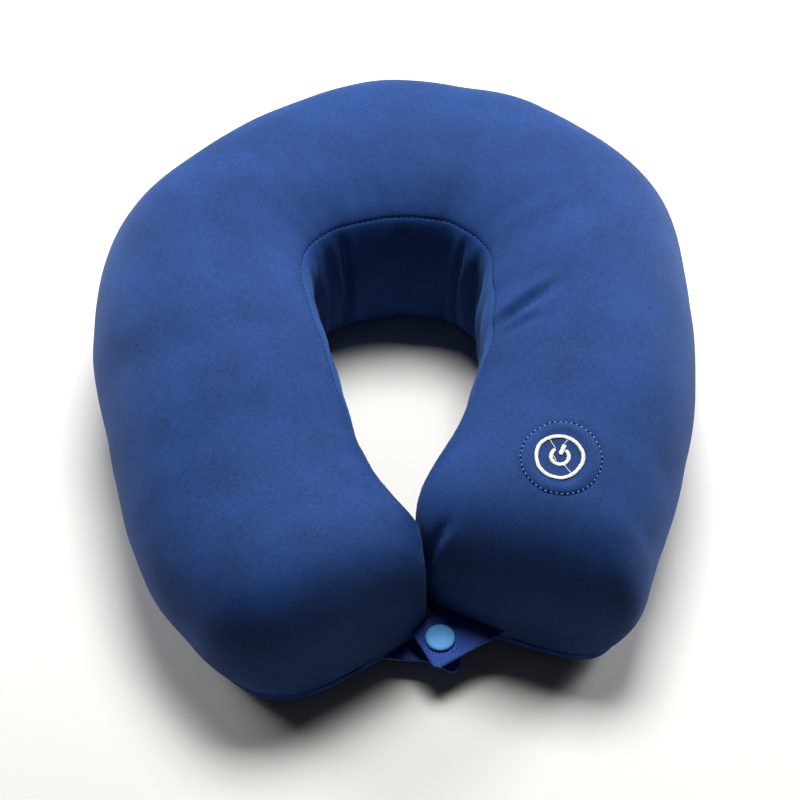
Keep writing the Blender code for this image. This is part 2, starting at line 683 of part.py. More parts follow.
def make_cable(looks, pillow, centre, normal):
    """The lead from the case to the switch, in two pieces that meet on the right shoulder's axis."""
    x, y, z = CASE_CENTRE
    back = [(x + 46, y - 3, z), (x + 54, y - 3, z), (x + 61, y - 5, z), (73, 81, z), (84, 54, z),
            (94, 28, z), (RIGHT_SHOULDER[0] - 0.3, RIGHT_SHOULDER[1] + 2.0, z)]
    end = centre + normal * (HOUSING_BOTTOM + 1.6)
    below = centre + normal * (HOUSING_BOTTOM - 14)
    arm = [(RIGHT_SHOULDER[0], RIGHT_SHOULDER[1] - 1.5, z), (97, -20, z), (92, -50, z + 2),
           (84, -76, z + 8), tuple(below), tuple(centre + normal * (HOUSING_BOTTOM - 5)), tuple(end)]
    for name, route, steps in (("cable_back", back, 21), ("cable_arm", arm, 25)):
        path = smooth_curve(route, np.linspace(0, len(route) - 1, steps))
        swept(name, path, CABLE_RADIUS, 8, looks["coil"])
    path = smooth_curve(back, np.linspace(0.6, len(back) - 1, 24))
    combine(pillow["filling_back"], swept("cable_tunnel_back", path, TUNNEL_RADIUS, 10))
    path = smooth_curve(arm, np.linspace(0, len(arm) - 1.3, 26))
    combine(pillow["filling_right"], swept("cable_tunnel_arm", path, TUNNEL_RADIUS, 10))
    reach = RIGHT_KNUCKLE + 3
    away = math.degrees(math.atan2(54 - RIGHT_SHOULDER[1], 84 - RIGHT_SHOULDER[0]))
    fan = arc_points(RIGHT_SHOULDER, reach, away - SHOULDER_SWING - 2, away + 4, 10)
    fan += arc_points(RIGHT_SHOULDER, 4.5, away + 90, away + 270 - SHOULDER_SWING, 8)
    room = prism("cable_room", fan, z - 2.3, z + 2.3)
    combine(pillow["filling_right"], room)


# The snap and its two webbing tabs.

def tab_outline(direction, root):
    """A tab seen from above, round the snap: its end is cut straight, with eased corners."""
    half = TAB_WIDTH / 2
    local = [(-root, -half), (TAB_END - 1.5, -half), (TAB_END, 1.5 - half), (TAB_END, half - 1.5),
             (TAB_END - 1.5, half), (-root, half)]
    dx, dy = direction
    return [(SNAP_PLACE[0] + a * dx - b * dy, SNAP_PLACE[1] + a * dy + b * dx) for a, b in local]


def make_snap(looks):
    upper = UPPER_TAB_BOTTOM
    lower = LOWER_TAB_BOTTOM
    tabs = (("upper_snap_tab", UPPER_TAB_DIRECTION, UPPER_TAB_ROOT, upper, "right"),
            ("lower_snap_tab", LOWER_TAB_DIRECTION, LOWER_TAB_ROOT, lower, "left"))
    for name, direction, root, low, body in tabs:
        tab = prism(name, tab_outline(direction, root), low, low + TAB_THICKNESS, looks["webbing"])
        arm = solid_tube(f"{name}_root_cut", body, -TAB_CLEARANCE, None)
        combine(tab, arm)
        post = cylinder(f"{name}_hole", 1.5, low - 2, low + 4, 10, None, frame_at((*SNAP_PLACE, 0)))
        combine(tab, post)
    place = frame_at((*SNAP_PLACE, 0))
    top = upper + TAB_THICKNESS + GAP
    r = SNAP_CAP_RADIUS
    cap = ((0, upper - 0.1), (1.1, upper - 0.1), (1.1, top), (r, top), (r, top + 0.9), (r - 1.2, top + 1.7),
           (3.6, top + 2.1), (0, top + 2.2))
    turned("snap_cap", cap, 24, looks["snap"], place)
    base = upper - GAP
    socket = ((0, base - 0.5), (3.2, base - 0.5), (3.2, base - 2.9), (4.4, base - 2.9), (5.7, base - 1.4),
              (5.7, base), (0, base))
    turned("snap_socket", socket, 20, looks["snap"], place)
    seat = lower + TAB_THICKNESS + GAP
    stud = ((0, seat), (5.6, seat), (5.6, seat + 0.8), (1.8, seat + 1.0), (2.2, seat + 2.4),
            (1.6, seat + 3.1), (0, seat + 3.1))
    turned("snap_stud", stud, 20, looks["snap"], place)
    under = lower - GAP
    rivet = ((0, seat - GAP), (1.1, seat - GAP), (1.1, under), (r, under), (r, under - 0.7),
             (r - 1.0, under - 1.3), (0, under - 1.5))
    turned("snap_rivet", rivet, 24, looks["snap"], place)


def make_looks():
    return {
        "cover": make_material("cover_knit", (0.034, 0.095, 0.310), 0.75),
        "gusset": make_material("gusset_knit", (0.016, 0.040, 0.130), 0.8),
        "bottom": make_material("bottom_knit", (0.045, 0.120, 0.370), 0.75),
        "filling": make_material("microbead_filling", (0.80, 0.80, 0.78), 0.9),
        "webbing": make_material("webbing", (0.024, 0.065, 0.390), 0.65),
        "snap": make_material("snap_plastic", (0.150, 0.380, 0.720), 0.35),
        "thread": make_material("embroidery_thread", (0.780, 0.790, 0.760), 0.5),
        "zip_tape": make_material("zip_tape", (0.020, 0.050, 0.170), 0.8),
        "zip_coil": make_material("zip_coil", (0.018, 0.045, 0.150), 0.4),
        "zip_metal": make_material("zip_metal", (0.060, 0.110, 0.260), 0.35, 0.6),
        "case": make_material("case_plastic", (0.700, 0.700, 0.690), 0.45),
        "cell": make_material("cell_wrap", (0.120, 0.120, 0.130), 0.35),
        "steel": make_material("plated_steel", (0.600, 0.600, 0.600), 0.3, 1.0),
        "brass": make_material("brass_weight", (0.600, 0.430, 0.180), 0.35, 1.0),
        "coil": make_material("black_plastic", (0.020, 0.020, 0.022), 0.5),
    }


JOINTED = (
    ("left_arm_pivot", (*LEFT_SHOULDER, 53.0), None,
     ("filling_left", "top_panel_left", "neck_gusset_left", "bottom_panel_left")),
    ("right_arm_pivot", (*RIGHT_SHOULDER, 53.0), None,
     ("filling_right", "top_panel_right", "neck_gusset_right", "bottom_panel_right", "switch_housing",
      "switch_spring", "tactile_switch", "cable_arm")),
    ("lower_tab_pivot", (*LOWER_TAB_HINGE, LOWER_TAB_BOTTOM + TAB_THICKNESS / 2), "left_arm_pivot",
     ("lower_snap_tab", "snap_stud", "snap_rivet")),
    ("upper_tab_pivot", (*UPPER_TAB_HINGE, UPPER_TAB_BOTTOM + TAB_THICKNESS / 2), "right_arm_pivot",
     ("upper_snap_tab", "snap_cap", "snap_socket")),
    ("zip_axis", (*ZIP_CENTRE, ZIP_HEIGHT), None, ("zip_slider",)),
    ("door_rest", CASE_CENTRE, None, ("battery_door",)),
    ("motor_axis", CASE_CENTRE, None, ("motor_shaft", "eccentric_weight")),
)


def hang_on_pivots(button_centre):
    """Parent each moving piece to an empty on its joint's axis."""
    button = ("button_axis", tuple(button_centre), "right_arm_pivot",
              ("button_patch", "embroidered_ring", "power_symbol_ring", "power_symbol_bar",
               "button_plunger"))
    bpy.context.view_layer.update()
    for name, place, parent, pieces in JOINTED + (button,):
        pivot = bpy.data.objects.new(name, None)
        bpy.context.collection.objects.link(pivot)
        pivot.matrix_world = Matrix.Translation(Vector(place) * MM)
        if parent:
            pivot.parent = bpy.data.objects[parent]
            pivot.matrix_parent_inverse = bpy.data.objects[parent].matrix_world.inverted()
        bpy.context.view_layer.update()
        for piece in pieces:
            thing = bpy.data.objects[piece]
            thing.parent = pivot
            thing.matrix_parent_inverse = pivot.matrix_world.inverted()
    pull = bpy.data.objects["zip_pull"]
    slider = bpy.data.objects["zip_slider"]
    bpy.context.view_layer.update()
    pull.parent = slider
    pull.matrix_parent_inverse = slider.matrix_world.inverted()


def main():
    clear_scene()
    looks = make_looks()
    pillow = make_pillow(looks, shoulder_cutters())
    make_zip(looks, pillow)
    make_case(looks, pillow)
    make_cells(looks)
    make_motor(looks)
    button_centre, button_normal = make_button(looks, pillow)
    make_cable(looks, pillow, button_centre, button_normal)
    make_snap(looks)
    hang_on_pivots(button_centre)


main()
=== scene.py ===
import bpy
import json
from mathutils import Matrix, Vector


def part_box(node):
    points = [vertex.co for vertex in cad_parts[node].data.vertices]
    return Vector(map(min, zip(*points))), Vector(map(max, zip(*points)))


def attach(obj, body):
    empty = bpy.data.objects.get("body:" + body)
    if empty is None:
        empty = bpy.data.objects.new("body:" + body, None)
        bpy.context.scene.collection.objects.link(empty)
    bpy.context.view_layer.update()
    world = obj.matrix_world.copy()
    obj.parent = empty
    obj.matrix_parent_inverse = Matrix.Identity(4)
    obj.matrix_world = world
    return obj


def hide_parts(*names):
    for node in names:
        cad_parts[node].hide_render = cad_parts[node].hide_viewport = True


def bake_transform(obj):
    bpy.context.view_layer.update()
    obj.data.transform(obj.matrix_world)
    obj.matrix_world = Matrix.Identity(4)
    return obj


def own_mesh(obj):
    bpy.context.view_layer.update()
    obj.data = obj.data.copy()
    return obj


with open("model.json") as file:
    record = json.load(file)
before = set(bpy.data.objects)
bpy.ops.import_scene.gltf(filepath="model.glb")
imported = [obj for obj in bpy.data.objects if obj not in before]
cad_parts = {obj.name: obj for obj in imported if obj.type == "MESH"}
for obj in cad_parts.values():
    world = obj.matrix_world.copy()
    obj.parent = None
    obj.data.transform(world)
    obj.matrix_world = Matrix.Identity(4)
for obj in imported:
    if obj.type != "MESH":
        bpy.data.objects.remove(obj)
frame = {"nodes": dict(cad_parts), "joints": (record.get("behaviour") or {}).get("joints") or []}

"""Looks of the u shaped neck pillow: a knitted cover in sewn panels over a bag of microbeads.

Sizes are in millimetres unless a name says otherwise; make_piece turns them into metres.
The tube follows the ribs and the section of the CAD model, a little plumper or slimmer where the cloth is.
"""
import json
import math

import bpy
import numpy as np
from mathutils import Vector
from mathutils.bvhtree import BVHTree

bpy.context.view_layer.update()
MM = 0.001
random = np.random.default_rng(7)

# The tube of the pillow: inner edge x, y, outer edge x, y and height of each rib, from the tip of the
# left arm round the back to the tip of the right arm.
RIBS = (
    (27, -128.5, -71, -182, 88), (-3, -94, -103, -152, 90), (-20, -59, -127.5, -111, 93),
    (-29, -20, -142.5, -50, 102), (-38.5, 15, -152.5, 11, 106), (-39, 36, -141.5, 77, 106),
    (-28, 48, -90, 130.5, 106), (-13, 52.5, -43, 157, 106), (3, 54.5, -2, 169.5, 106),
    (19, 53, 43, 162, 106), (31, 48, 91.5, 143, 106), (43, 33, 144.5, 84.5, 106),
    (43, 7, 151, 11, 106), (39.5, -22, 145, -46, 104), (25, -59, 129, -98, 99),
    (6, -91, 115, -132, 95), (-6, -123.5, 106, -166.5, 91),
)
# One closed section, as fractions of half the width (-1 inner, 1 outer) and of the height. It starts
# at the low outer seam (knot 0) and passes the gusset's top seam (7) and bottom seam (10).
SECTION = (
    (0.85, 0.16), (0.99, 0.40), (0.93, 0.68), (0.66, 0.91), (0.18, 1.0), (-0.34, 0.985),
    (-0.72, 0.91), (-0.93, 0.80), (-1.0, 0.56), (-1.0, 0.30), (-0.95, 0.12), (-0.76, 0.02),
    (-0.35, 0.0), (0.35, 0.0), (0.76, 0.035),
)
KNOTS = len(SECTION)
GUSSET_FOOT = 10
TIP_LENGTH = 46.0
TIP_POWER = 3.8
TIP_DROP = 2.8
TIP_STUB = 0.02
SEAM_HEIGHT = 15.0
CONTACT_POINT = (4.2, -92.0)
CONTACT_DIRECTION = (0.107, -0.994)
CONTACT_GAP = 0.12
CONTACT_SOFTNESS = 1.2     # how far from the contact plane the arms' round sides start to flatten

# The gusset's top seam runs level round the neck, a little above the section's knot 7, and comes down
# to the gusset's foot near both tips, where the gusset ends in a point.
SEAM_KNOT = 6.8
SEAM_TIP = 30.0            # from each tip to where the seam meets the gusset's foot
SEAM_FALL = 90.0           # the stretch over which it comes down
GUSSET_START = 38.0
GUSSET_END = 632.0
# Pleats in the gusset: distance from the left tip, depth and width of the valley, and lean.
PLEATS = ((244, 0.6, 8, -2), (268, 0.8, 7, 0), (291, 3.9, 5.4, 3), (325, 0.8, 6, 1), (390, 1.5, 5.5, -4),
          (416, 3.5, 4.6, -12), (443, 2.2, 5.5, -9), (470, 0.7, 7, -4))
# Creases in the top panel of the right arm: start and end in plan, depth and width.
CREASES = (((49, -14.5), (82, 3), 2.6, 2.9), ((49, -20.5), (74, -15), 1.2, 2.5),
           ((46, 6), (66, 14), 0.7, 5.0), ((19, -116), (4, -127), 1.9, 2.4))

# The cloth simulation of the cover: frames, columns round the section, pressure, how far inside the
# tube it starts, how far a place may move, and the length along the rows over which the moves' slow
# part is worked out, to be taken away.
CLOTH_FRAMES = 20
CLOTH_COLUMNS = 60
CLOTH_PRESSURE = 4.0
CLOTH_START = 1.0
CLOTH_CAP = 5.0
CLOTH_REACH = 45.0
CLOTH_SHARE = 0.35         # how much of the cloth's moves the taut top and bottom keep

FABRIC = 1.0
ROW_PITCH = 2.6
COLUMN_PITCH = 2.5
RIPPLE = 0.15              # how much of the ripples shows through the cover
FLOOR_GAP = 0.05
SEAM_STEPS = (0.0, 0.35, 0.8, 1.4, 2.2, 3.4, 5.0)
TUCK = 0.45
LOW_TUCK = 1.7
TUCK_WIDTH = 0.9
SEAM_GAP = 0.12

# The zip's arc and the shoulders' blend zones.
ZIP_CENTRE = (4.0, 30.0)
ZIP_RADIUS = 138.6
ZIP_HEIGHT = 42.0
ZIP_HALF_ANGLE = 20.0
ZIP_SLOT = 4.8
ARM_BLENDS = {"left": ((-0.040, 0.076, 0.05), (-0.095, -0.019, 0.05)),
              "right": ((0.040, 0.076, 0.05), (0.095, -0.019, 0.05))}

SNAP_PLACE = (14.4, -145.8)


def smooth_curve(points, at, closed=False):
    """A Catmull-Rom curve through points, read at parameters of any shape."""
    points = np.asarray(points, float)
    at = np.asarray(at, float)
    count = len(points)
    if closed:
        start = np.floor(at).astype(int)
        t = (at - start)[..., None]
        start = start % count
        padded = points[np.arange(-1, count + 2) % count]
    else:
        start = np.clip(np.floor(at).astype(int), 0, count - 2)
        t = (at - start)[..., None]
        padded = np.vstack((2 * points[0] - points[1], points, 2 * points[-1] - points[-2]))
    p0, p1, p2, p3 = (padded[start + k] for k in range(4))
    return 0.5 * (2 * p1 + (p2 - p0) * t + (2 * p0 - 5 * p1 + 4 * p2 - p3) * t ** 2
                  + (3 * p1 - p0 - 3 * p2 + p3) * t ** 3)


def smooth_step(low, high, value):
    t = np.clip((value - low) / (high - low), 0, 1)
    return t * t * (3 - 2 * t)


def running(steps):
    """Running totals along the last axis, starting from 0."""
    return np.cumsum(np.insert(steps, 0, 0.0, axis=-1), axis=-1)


def path_travel(path):
    """Distances along a path of points, from its start."""
    return running(np.linalg.norm(np.diff(path, axis=0), axis=-1))


def on_path(path, travel, place):
    """Values kept along a path, read at one distance."""
    return np.array([np.interp(place, travel, column) for column in path.T])


spine_ribs = smooth_curve(RIBS, np.linspace(0, len(RIBS) - 1, 1501))
spine_middle = (spine_ribs[:, 0:2] + spine_ribs[:, 2:4]) / 2
spine_distance = running(np.hypot(*np.diff(spine_middle, axis=0).T))
LENGTH = spine_distance[-1]
MIDDLE = LENGTH / 2


def contact_push(flat, left, gap):
    """How points in plan move so that each arm keeps to its own side of the contact plane."""
    side = np.where(left, -1.0, 1.0)
    normal = np.array((-CONTACT_DIRECTION[1], CONTACT_DIRECTION[0]))
    room = ((flat - np.array(CONTACT_POINT)) @ normal) * side - gap
    soft = 0.5 * (room + np.sqrt(room ** 2 + CONTACT_SOFTNESS ** 2))
    near = smooth_step(-40, -60, flat[..., 1])
    push = np.where(room < 40, soft - room, 0) * near
    return (push * side)[..., None] * normal


def tube(distance, around, inset=0.0, pressed=True):
    """Points of the tube's surface at distances along the spine and knots round the section.

    pressed flattens the arms where they touch.
    """
    distance, around = np.broadcast_arrays(np.asarray(distance, float), np.asarray(around, float))
    rib = np.stack([np.interp(distance, spine_distance, column) for column in spine_ribs.T], -1)
    lateral, height = np.moveaxis(smooth_curve(SECTION, around, closed=True), -1, 0)
    middle = (rib[..., 0:2] + rib[..., 2:4]) / 2
    half = (rib[..., 2:4] - rib[..., 0:2]) / 2
    half = half * (1 - inset / np.linalg.norm(half, axis=-1, keepdims=True))
    left = distance < MIDDLE
    from_tip = np.where(left, distance, LENGTH - distance) - inset
    short = np.clip(1 - from_tip / TIP_LENGTH, 0, 1)
    factor = np.maximum((1 - short ** TIP_POWER) ** (1 / TIP_POWER), TIP_STUB)
    drop = np.maximum((1 - short ** TIP_DROP) ** (1 / TIP_DROP), TIP_STUB)
    flat = middle + half * (lateral * factor)[..., None]
    if pressed:
        flat = flat + contact_push(flat, left, CONTACT_GAP + inset)
    z = inset + (rib[..., 4] - 2 * inset) * height
    z = SEAM_HEIGHT + (z - SEAM_HEIGHT) * drop
    return np.concatenate((flat, z[..., None]), -1)


def grid_normals(points):
    """Unit normals of a grid of points, facing out of the tube."""
    along = np.gradient(points, axis=0)
    round_ = np.gradient(points, axis=1)
    normal = np.cross(round_, along)
    return normal / np.maximum(np.linalg.norm(normal, axis=-1, keepdims=True), 1e-9)


def row_distances(inset=0.0):
    """Distances of the cover's rows: close together round the tips, with one row at the middle."""
    angle = np.linspace(0, math.pi / 2, 400)
    short = np.cos(angle) ** (2 / TIP_POWER)
    factor = np.sin(angle) ** (2 / TIP_POWER)
    travel = running(np.hypot(np.diff(short) * TIP_LENGTH, np.diff(factor) * 50))
    start = np.interp(TIP_STUB, factor, travel)
    steps = int((travel[-1] - start) / (0.8 * ROW_PITCH))
    shorts = np.interp(np.linspace(start, travel[-1], steps), travel, short)
    tip = TIP_LENGTH * (1 - shorts) + inset
    straight = np.linspace(TIP_LENGTH + inset, MIDDLE, int((MIDDLE - TIP_LENGTH) / ROW_PITCH) + 1)
    half = np.concatenate((tip[:-1], straight))
    return np.concatenate((half, LENGTH - half[-2::-1]))


def gusset_seam(distance):
    """The knot of the gusset's top seam at distances from the left tip."""
    from_tip = np.minimum(distance, LENGTH - distance)
    risen = smooth_step(SEAM_TIP, SEAM_TIP + SEAM_FALL, from_tip)
    return GUSSET_FOOT - (GUSSET_FOOT - SEAM_KNOT) * risen


def knots_for(low, high, extra=()):
    """Knots from one seam to the other, close together at both, with any extra knots included."""
    fine = np.linspace(low, high, 600)
    travel = path_travel(tube(MIDDLE, fine))
    total = travel[-1]
    first = SEAM_STEPS[-1] + COLUMN_PITCH
    last = total - SEAM_STEPS[-1] - 0.5 * COLUMN_PITCH
    inner = np.arange(first, last, COLUMN_PITCH)
    places = np.concatenate((SEAM_STEPS, inner, total - np.array(SEAM_STEPS[::-1])))
    knots = np.interp(places, travel, fine)
    for knot in extra:
        knots[np.argmin(abs(knots - knot))] = knot
    return knots


# Cloth features laid over the tube.

def tucks(points, edges):
    """How far the seams at a panel's two long edges pull it in; edges are the depths of their tucks."""
    steps = np.linalg.norm(np.diff(points, axis=1), axis=-1)
    from_first = running(steps) + SEAM_GAP
    from_last = from_first[:, -1:] - from_first + SEAM_GAP
    return (edges[0] * np.exp(-(from_first / TUCK_WIDTH) ** 1.6)
            + edges[1] * np.exp(-(from_last / TUCK_WIDTH) ** 1.6))


def pleats(distance, around):
    """Depth of the gusset's pleats: a narrow valley with a soft ridge on each side."""
    depth = np.zeros(np.broadcast(distance, around).shape)
    seam = gusset_seam(distance)
    down = np.clip((around - seam) / (GUSSET_FOOT - seam + 1e-6), 0, 1)
    for centre, deep, width, lean in PLEATS:
        away = distance - centre - lean * (down - 0.5)
        growing = smooth_step(0.02, 0.45, down) * smooth_step(1.03, 0.8, down)
        valley = np.exp(-(away / width) ** 2)
        ridge = np.exp(-((abs(away) - 2.0 * width) / (1.2 * width)) ** 2)
        depth += deep * growing * (0.4 * ridge - valley)
    return depth


def creases(points):
    depth = np.zeros(points.shape[:-1])
    for start, end, deep, width in CREASES:
        start, end = np.array(start, float), np.array(end, float)
        run = end - start
        t = ((points[..., 0:2] - start) @ run) / (run @ run)
        off = (points[..., 0:2] - start) @ np.array((-run[1], run[0])) / np.linalg.norm(run)
        fade = smooth_step(-0.15, 0.25, t) * smooth_step(1.1, 0.5, t)
        valley = np.exp(-(off / width) ** 2)
        ridge = np.exp(-((off - 2.0 * width) / (1.3 * width)) ** 2)
        depth += deep * fade * (0.8 * ridge - valley) * (points[..., 2] > 50)
    return depth


def ripples(distance, around):
    """Slow unevenness of a bag of beads."""
    waves = ((0.016, 1, 0.9, 0.2), (0.027, 2, 0.55, 1.9), (0.041, 3, 0.35, 4.0), (0.063, 4, 0.2, 2.7))
    turn = 2 * math.pi * around / KNOTS
    return sum(size * np.sin(2 * math.pi * rate * distance + lobes * turn + phase)
               for rate, lobes, size, phase in waves)


def zip_angle(points):
    return np.degrees(np.arctan2(points[..., 1] - ZIP_CENTRE[1], points[..., 0] - ZIP_CENTRE[0]))


def to_zip_arc(points, wanted, tall, wide):
    """Bring points round the zip to a wanted distance from the centre of its arc.

    wanted turns a point's distance into the new one. tall holds the heights from the zip at which the
    move has faded out and is whole, and wide the degrees past the zip's end at which it has faded out.
    """
    offset = points[..., 0:2] - np.array(ZIP_CENTRE)
    radius = np.linalg.norm(offset, axis=-1)
    weight = (smooth_step(*tall, abs(points[..., 2] - ZIP_HEIGHT))
              * smooth_step(ZIP_HALF_ANGLE + wide, ZIP_HALF_ANGLE + 3, abs(zip_angle(points) - 90))
              * (points[..., 1] > 100))
    moved = points.copy()
    moved[..., 0:2] += offset / radius[..., None] * ((wanted(radius) - radius) * weight)[..., None]
    return moved


BUTTON_LOW, BUTTON_HIGH = (np.array(corner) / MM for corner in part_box("embroidered_ring"))
press = next(joint for joint in frame["joints"] if joint["name"] == "power_button_press")
BUTTON_NORMAL = -np.array(press["axis"], float) / np.linalg.norm(press["axis"])
BUTTON_CENTRE = (BUTTON_LOW + BUTTON_HIGH) / 2 - 0.7 * BUTTON_NORMAL
PATCH_RADIUS = 19.0
MARK_SHIFT = -0.9
DIMPLE_DEPTH = 2.2


def button_dimple(points):
    away = np.linalg.norm(points - BUTTON_CENTRE, axis=-1)
    return -DIMPLE_DEPTH * smooth_step(PATCH_RADIUS + 0.5, PATCH_RADIUS - 4.5, away)


def cloth_surface(distance, around, edges, gusset=False, dimple=True, slack=None):
    """The cover's outside on a grid, with its pleats, creases and tucked seams, and its normals."""
    points = tube(distance, around, pressed=False)
    normals = grid_normals(points)
    rise = ripples(distance, around) * RIPPLE - tucks(points, edges)
    rise = rise + (pleats(distance, around) if gusset else creases(points))
    points = points + normals * rise[..., None]
    if slack is not None:
        points = points + slack(distance, around)
    points = to_zip_arc(points, lambda radius: ZIP_RADIUS + 1.0, (20, 6), 12)
    points[..., 2] = np.maximum(points[..., 2], FLOOR_GAP)
    left = np.broadcast_to(distance < MIDDLE, points.shape[:-1])
    points[..., 0:2] += contact_push(points[..., 0:2], left, CONTACT_GAP)
    if dimple:
        points = points + normals * button_dimple(points)[..., None]
    return points, grid_normals(points)


# The cover as cloth.

def settle_cloth(rows):
    """Swell the closed cover as cloth under pressure; return how far each of its places moved."""
    rows = rows[::2]
    chance = np.random.default_rng(11)
    knots = np.linspace(0, KNOTS, CLOTH_COLUMNS + 1)
    resting = tube(rows[:, None], knots[None], pressed=False)
    normals = grid_normals(resting)[:, :-1]
    resting = resting[:, :-1]
    knots = knots[:-1]
    seam = gusset_seam(rows)[:, None]
    seamed = (rows[:, None] > GUSSET_START) & (rows[:, None] < GUSSET_END)
    from_seam = np.minimum(np.minimum(knots, KNOTS - knots), abs(knots - GUSSET_FOOT))[None]
    from_seam = np.minimum(from_seam, np.where(seamed, abs(knots[None] - seam), KNOTS))
    depth = CLOTH_START * smooth_step(0, 1.2, from_seam) + 0.3
    uneven = chance.normal(0, 0.3, resting.shape)
    start = resting - normals * depth[..., None] + uneven * smooth_step(0, 0.8, from_seam)[..., None]
    count, columns = resting.shape[:2]
    mesh = bpy.data.meshes.new("cover_cloth")
    mesh.from_pydata((start.reshape(-1, 3) * MM).tolist(), [], sleeve_faces(count, columns))
    cloth = bpy.data.objects.new("cover_cloth", mesh)
    bpy.context.scene.collection.objects.link(cloth)

    end_rows = (np.arange(count) < 3) | (np.arange(count) > count - 4)
    pinned = (from_seam < 0.13) | end_rows[:, None]
    pins = cloth.vertex_groups.new(name="pins")
    pins.add(np.nonzero(pinned.ravel())[0].tolist(), 1.0, "REPLACE")
    loose = seamed & (knots[None] > seam) & (knots[None] < GUSSET_FOOT)
    gusset = cloth.vertex_groups.new(name="gusset")
    gusset.add(np.nonzero(loose.ravel())[0].tolist(), 1.0, "REPLACE")

    modifier = cloth.modifiers.new("cloth", "CLOTH")
    settings = modifier.settings
    settings.quality = 6
    settings.mass = 0.2
    settings.use_pressure = True
    settings.uniform_pressure_force = CLOTH_PRESSURE
    settings.tension_stiffness = 20
    settings.compression_stiffness = 12
    settings.shear_stiffness = 8
    settings.bending_stiffness = 0.6
    settings.air_damping = 3
    settings.vertex_group_mass = "pins"
    settings.vertex_group_shrink = "gusset"
    settings.shrink_min = -0.025
    settings.shrink_max = -0.06
    settings.effector_weights.gravity = 0
    for step in range(1, CLOTH_FRAMES + 1):
        bpy.context.scene.frame_set(step)
    settled = cloth.evaluated_get(bpy.context.evaluated_depsgraph_get()).to_mesh()
    places = np.zeros(3 * len(settled.vertices))
    settled.vertices.foreach_get("co", places)
    bpy.context.scene.frame_set(1)
    bpy.data.objects.remove(cloth)

    moves = places.reshape(resting.shape) / MM - resting
    size = np.linalg.norm(moves, axis=-1, keepdims=True)
    moves = moves * np.minimum(1, CLOTH_CAP / np.maximum(size, 1e-6))
    moves = (np.roll(moves, 1, 1) + 2 * moves + np.roll(moves, -1, 1)) / 4
    moves[1:-1] = (moves[:-2] + 2 * moves[1:-1] + moves[2:]) / 4
    # The ribs give the filled shape, so only the cloth's shorter folds and hollows are kept.
    near = np.exp(-((rows[:, None] - rows[None]) / CLOTH_REACH) ** 2)
    moves = moves - np.einsum("ij,jkc->ikc", near / near.sum(axis=1, keepdims=True), moves)
    moves = moves * np.where(loose, 1.0, CLOTH_SHARE)[..., None]
    return lambda distance, around: cloth_moves(moves, rows, distance, around)


def spline_weights(t):
    return 0.5 * np.stack((2 * t ** 2 - t - t ** 3, 2 - 5 * t ** 2 + 3 * t ** 3,
                           t + 4 * t ** 2 - 3 * t ** 3, t ** 3 - t ** 2))


def cloth_moves(moves, rows, distance, around):
    """Read the cloth's moves smoothly between its vertices, and none at the button and the tips."""
    distance, around = np.broadcast_arrays(np.asarray(distance, float), np.asarray(around, float))
    row = np.interp(distance, rows, np.arange(len(rows)))
    column = around / KNOTS * CLOTH_COLUMNS
    first_row = np.clip(np.floor(row).astype(int), 0, len(rows) - 2)
    first_column = np.floor(column).astype(int)
    down = spline_weights(row - first_row)
    across = spline_weights(column - first_column)
    total = np.zeros((*distance.shape, 3))
    for i in range(4):
        for k in range(4):
            near_row = np.clip(first_row + i - 1, 0, len(rows) - 1)
            near_column = (first_column + k - 1) % CLOTH_COLUMNS
            total += moves[near_row, near_column] * (down[i] * across[k])[..., None]
    from_button = np.linalg.norm(tube(distance, around) - BUTTON_CENTRE, axis=-1)
    from_tip = np.minimum(distance, LENGTH - distance)
    calm = smooth_step(22, 44, from_button) * smooth_step(1, 9, from_tip)
    calm = calm * (0.2 + 0.8 * smooth_step(0, 0.8, abs(around - gusset_seam(distance))))
    return total * calm[..., None]


# Objects.

def make_piece(name, points, faces, material, uv=None, normals=None, sharp=None):
    """A mesh object from points in millimetres. uv has one pair and normals one direction per point."""
    mesh = bpy.data.meshes.new(name)
    mesh.from_pydata((np.asarray(points, float) * MM).tolist(), [], [tuple(map(int, f)) for f in faces])
    mesh.validate()
    mesh.shade_smooth()
    corners = np.zeros(len(mesh.loops), int)
    mesh.loops.foreach_get("vertex_index", corners)
    if uv is not None:
        layer = mesh.uv_layers.new(name="UVMap")
        layer.data.foreach_set("uv", np.asarray(uv, float)[corners].ravel() * MM)
    if normals is not None:
        mesh.normals_split_custom_set(np.asarray(normals, float)[corners].tolist())
    elif sharp is not None:
        mesh.set_sharp_from_angle(angle=math.radians(sharp))
    piece = bpy.data.objects.new(name, mesh)
    bpy.context.scene.collection.objects.link(piece)
    mesh.materials.append(material)
    return piece


def grid_faces(rows, columns, keep=None):
    """Faces of a grid of points, less those that keep leaves out."""
    i, j = np.meshgrid(np.arange(rows - 1), np.arange(columns - 1), indexing="ij")
    a = i * columns + j
    quads = np.stack((a, a + 1, a + columns + 1, a + columns), -1)
    return quads[keep] if keep is not None else quads.reshape(-1, 4)


def border_edges(faces):
    """Edges used by one face only, in the direction in which that face runs."""
    ends = np.concatenate([np.stack((faces[:, k], faces[:, (k + 1) % 4]), 1) for k in range(4)])
    known = {}
    for a, b in map(tuple, ends.tolist()):
        key = (min(a, b), max(a, b))
        known[key] = None if key in known else (a, b)
    return [edge for edge in known.values() if edge]


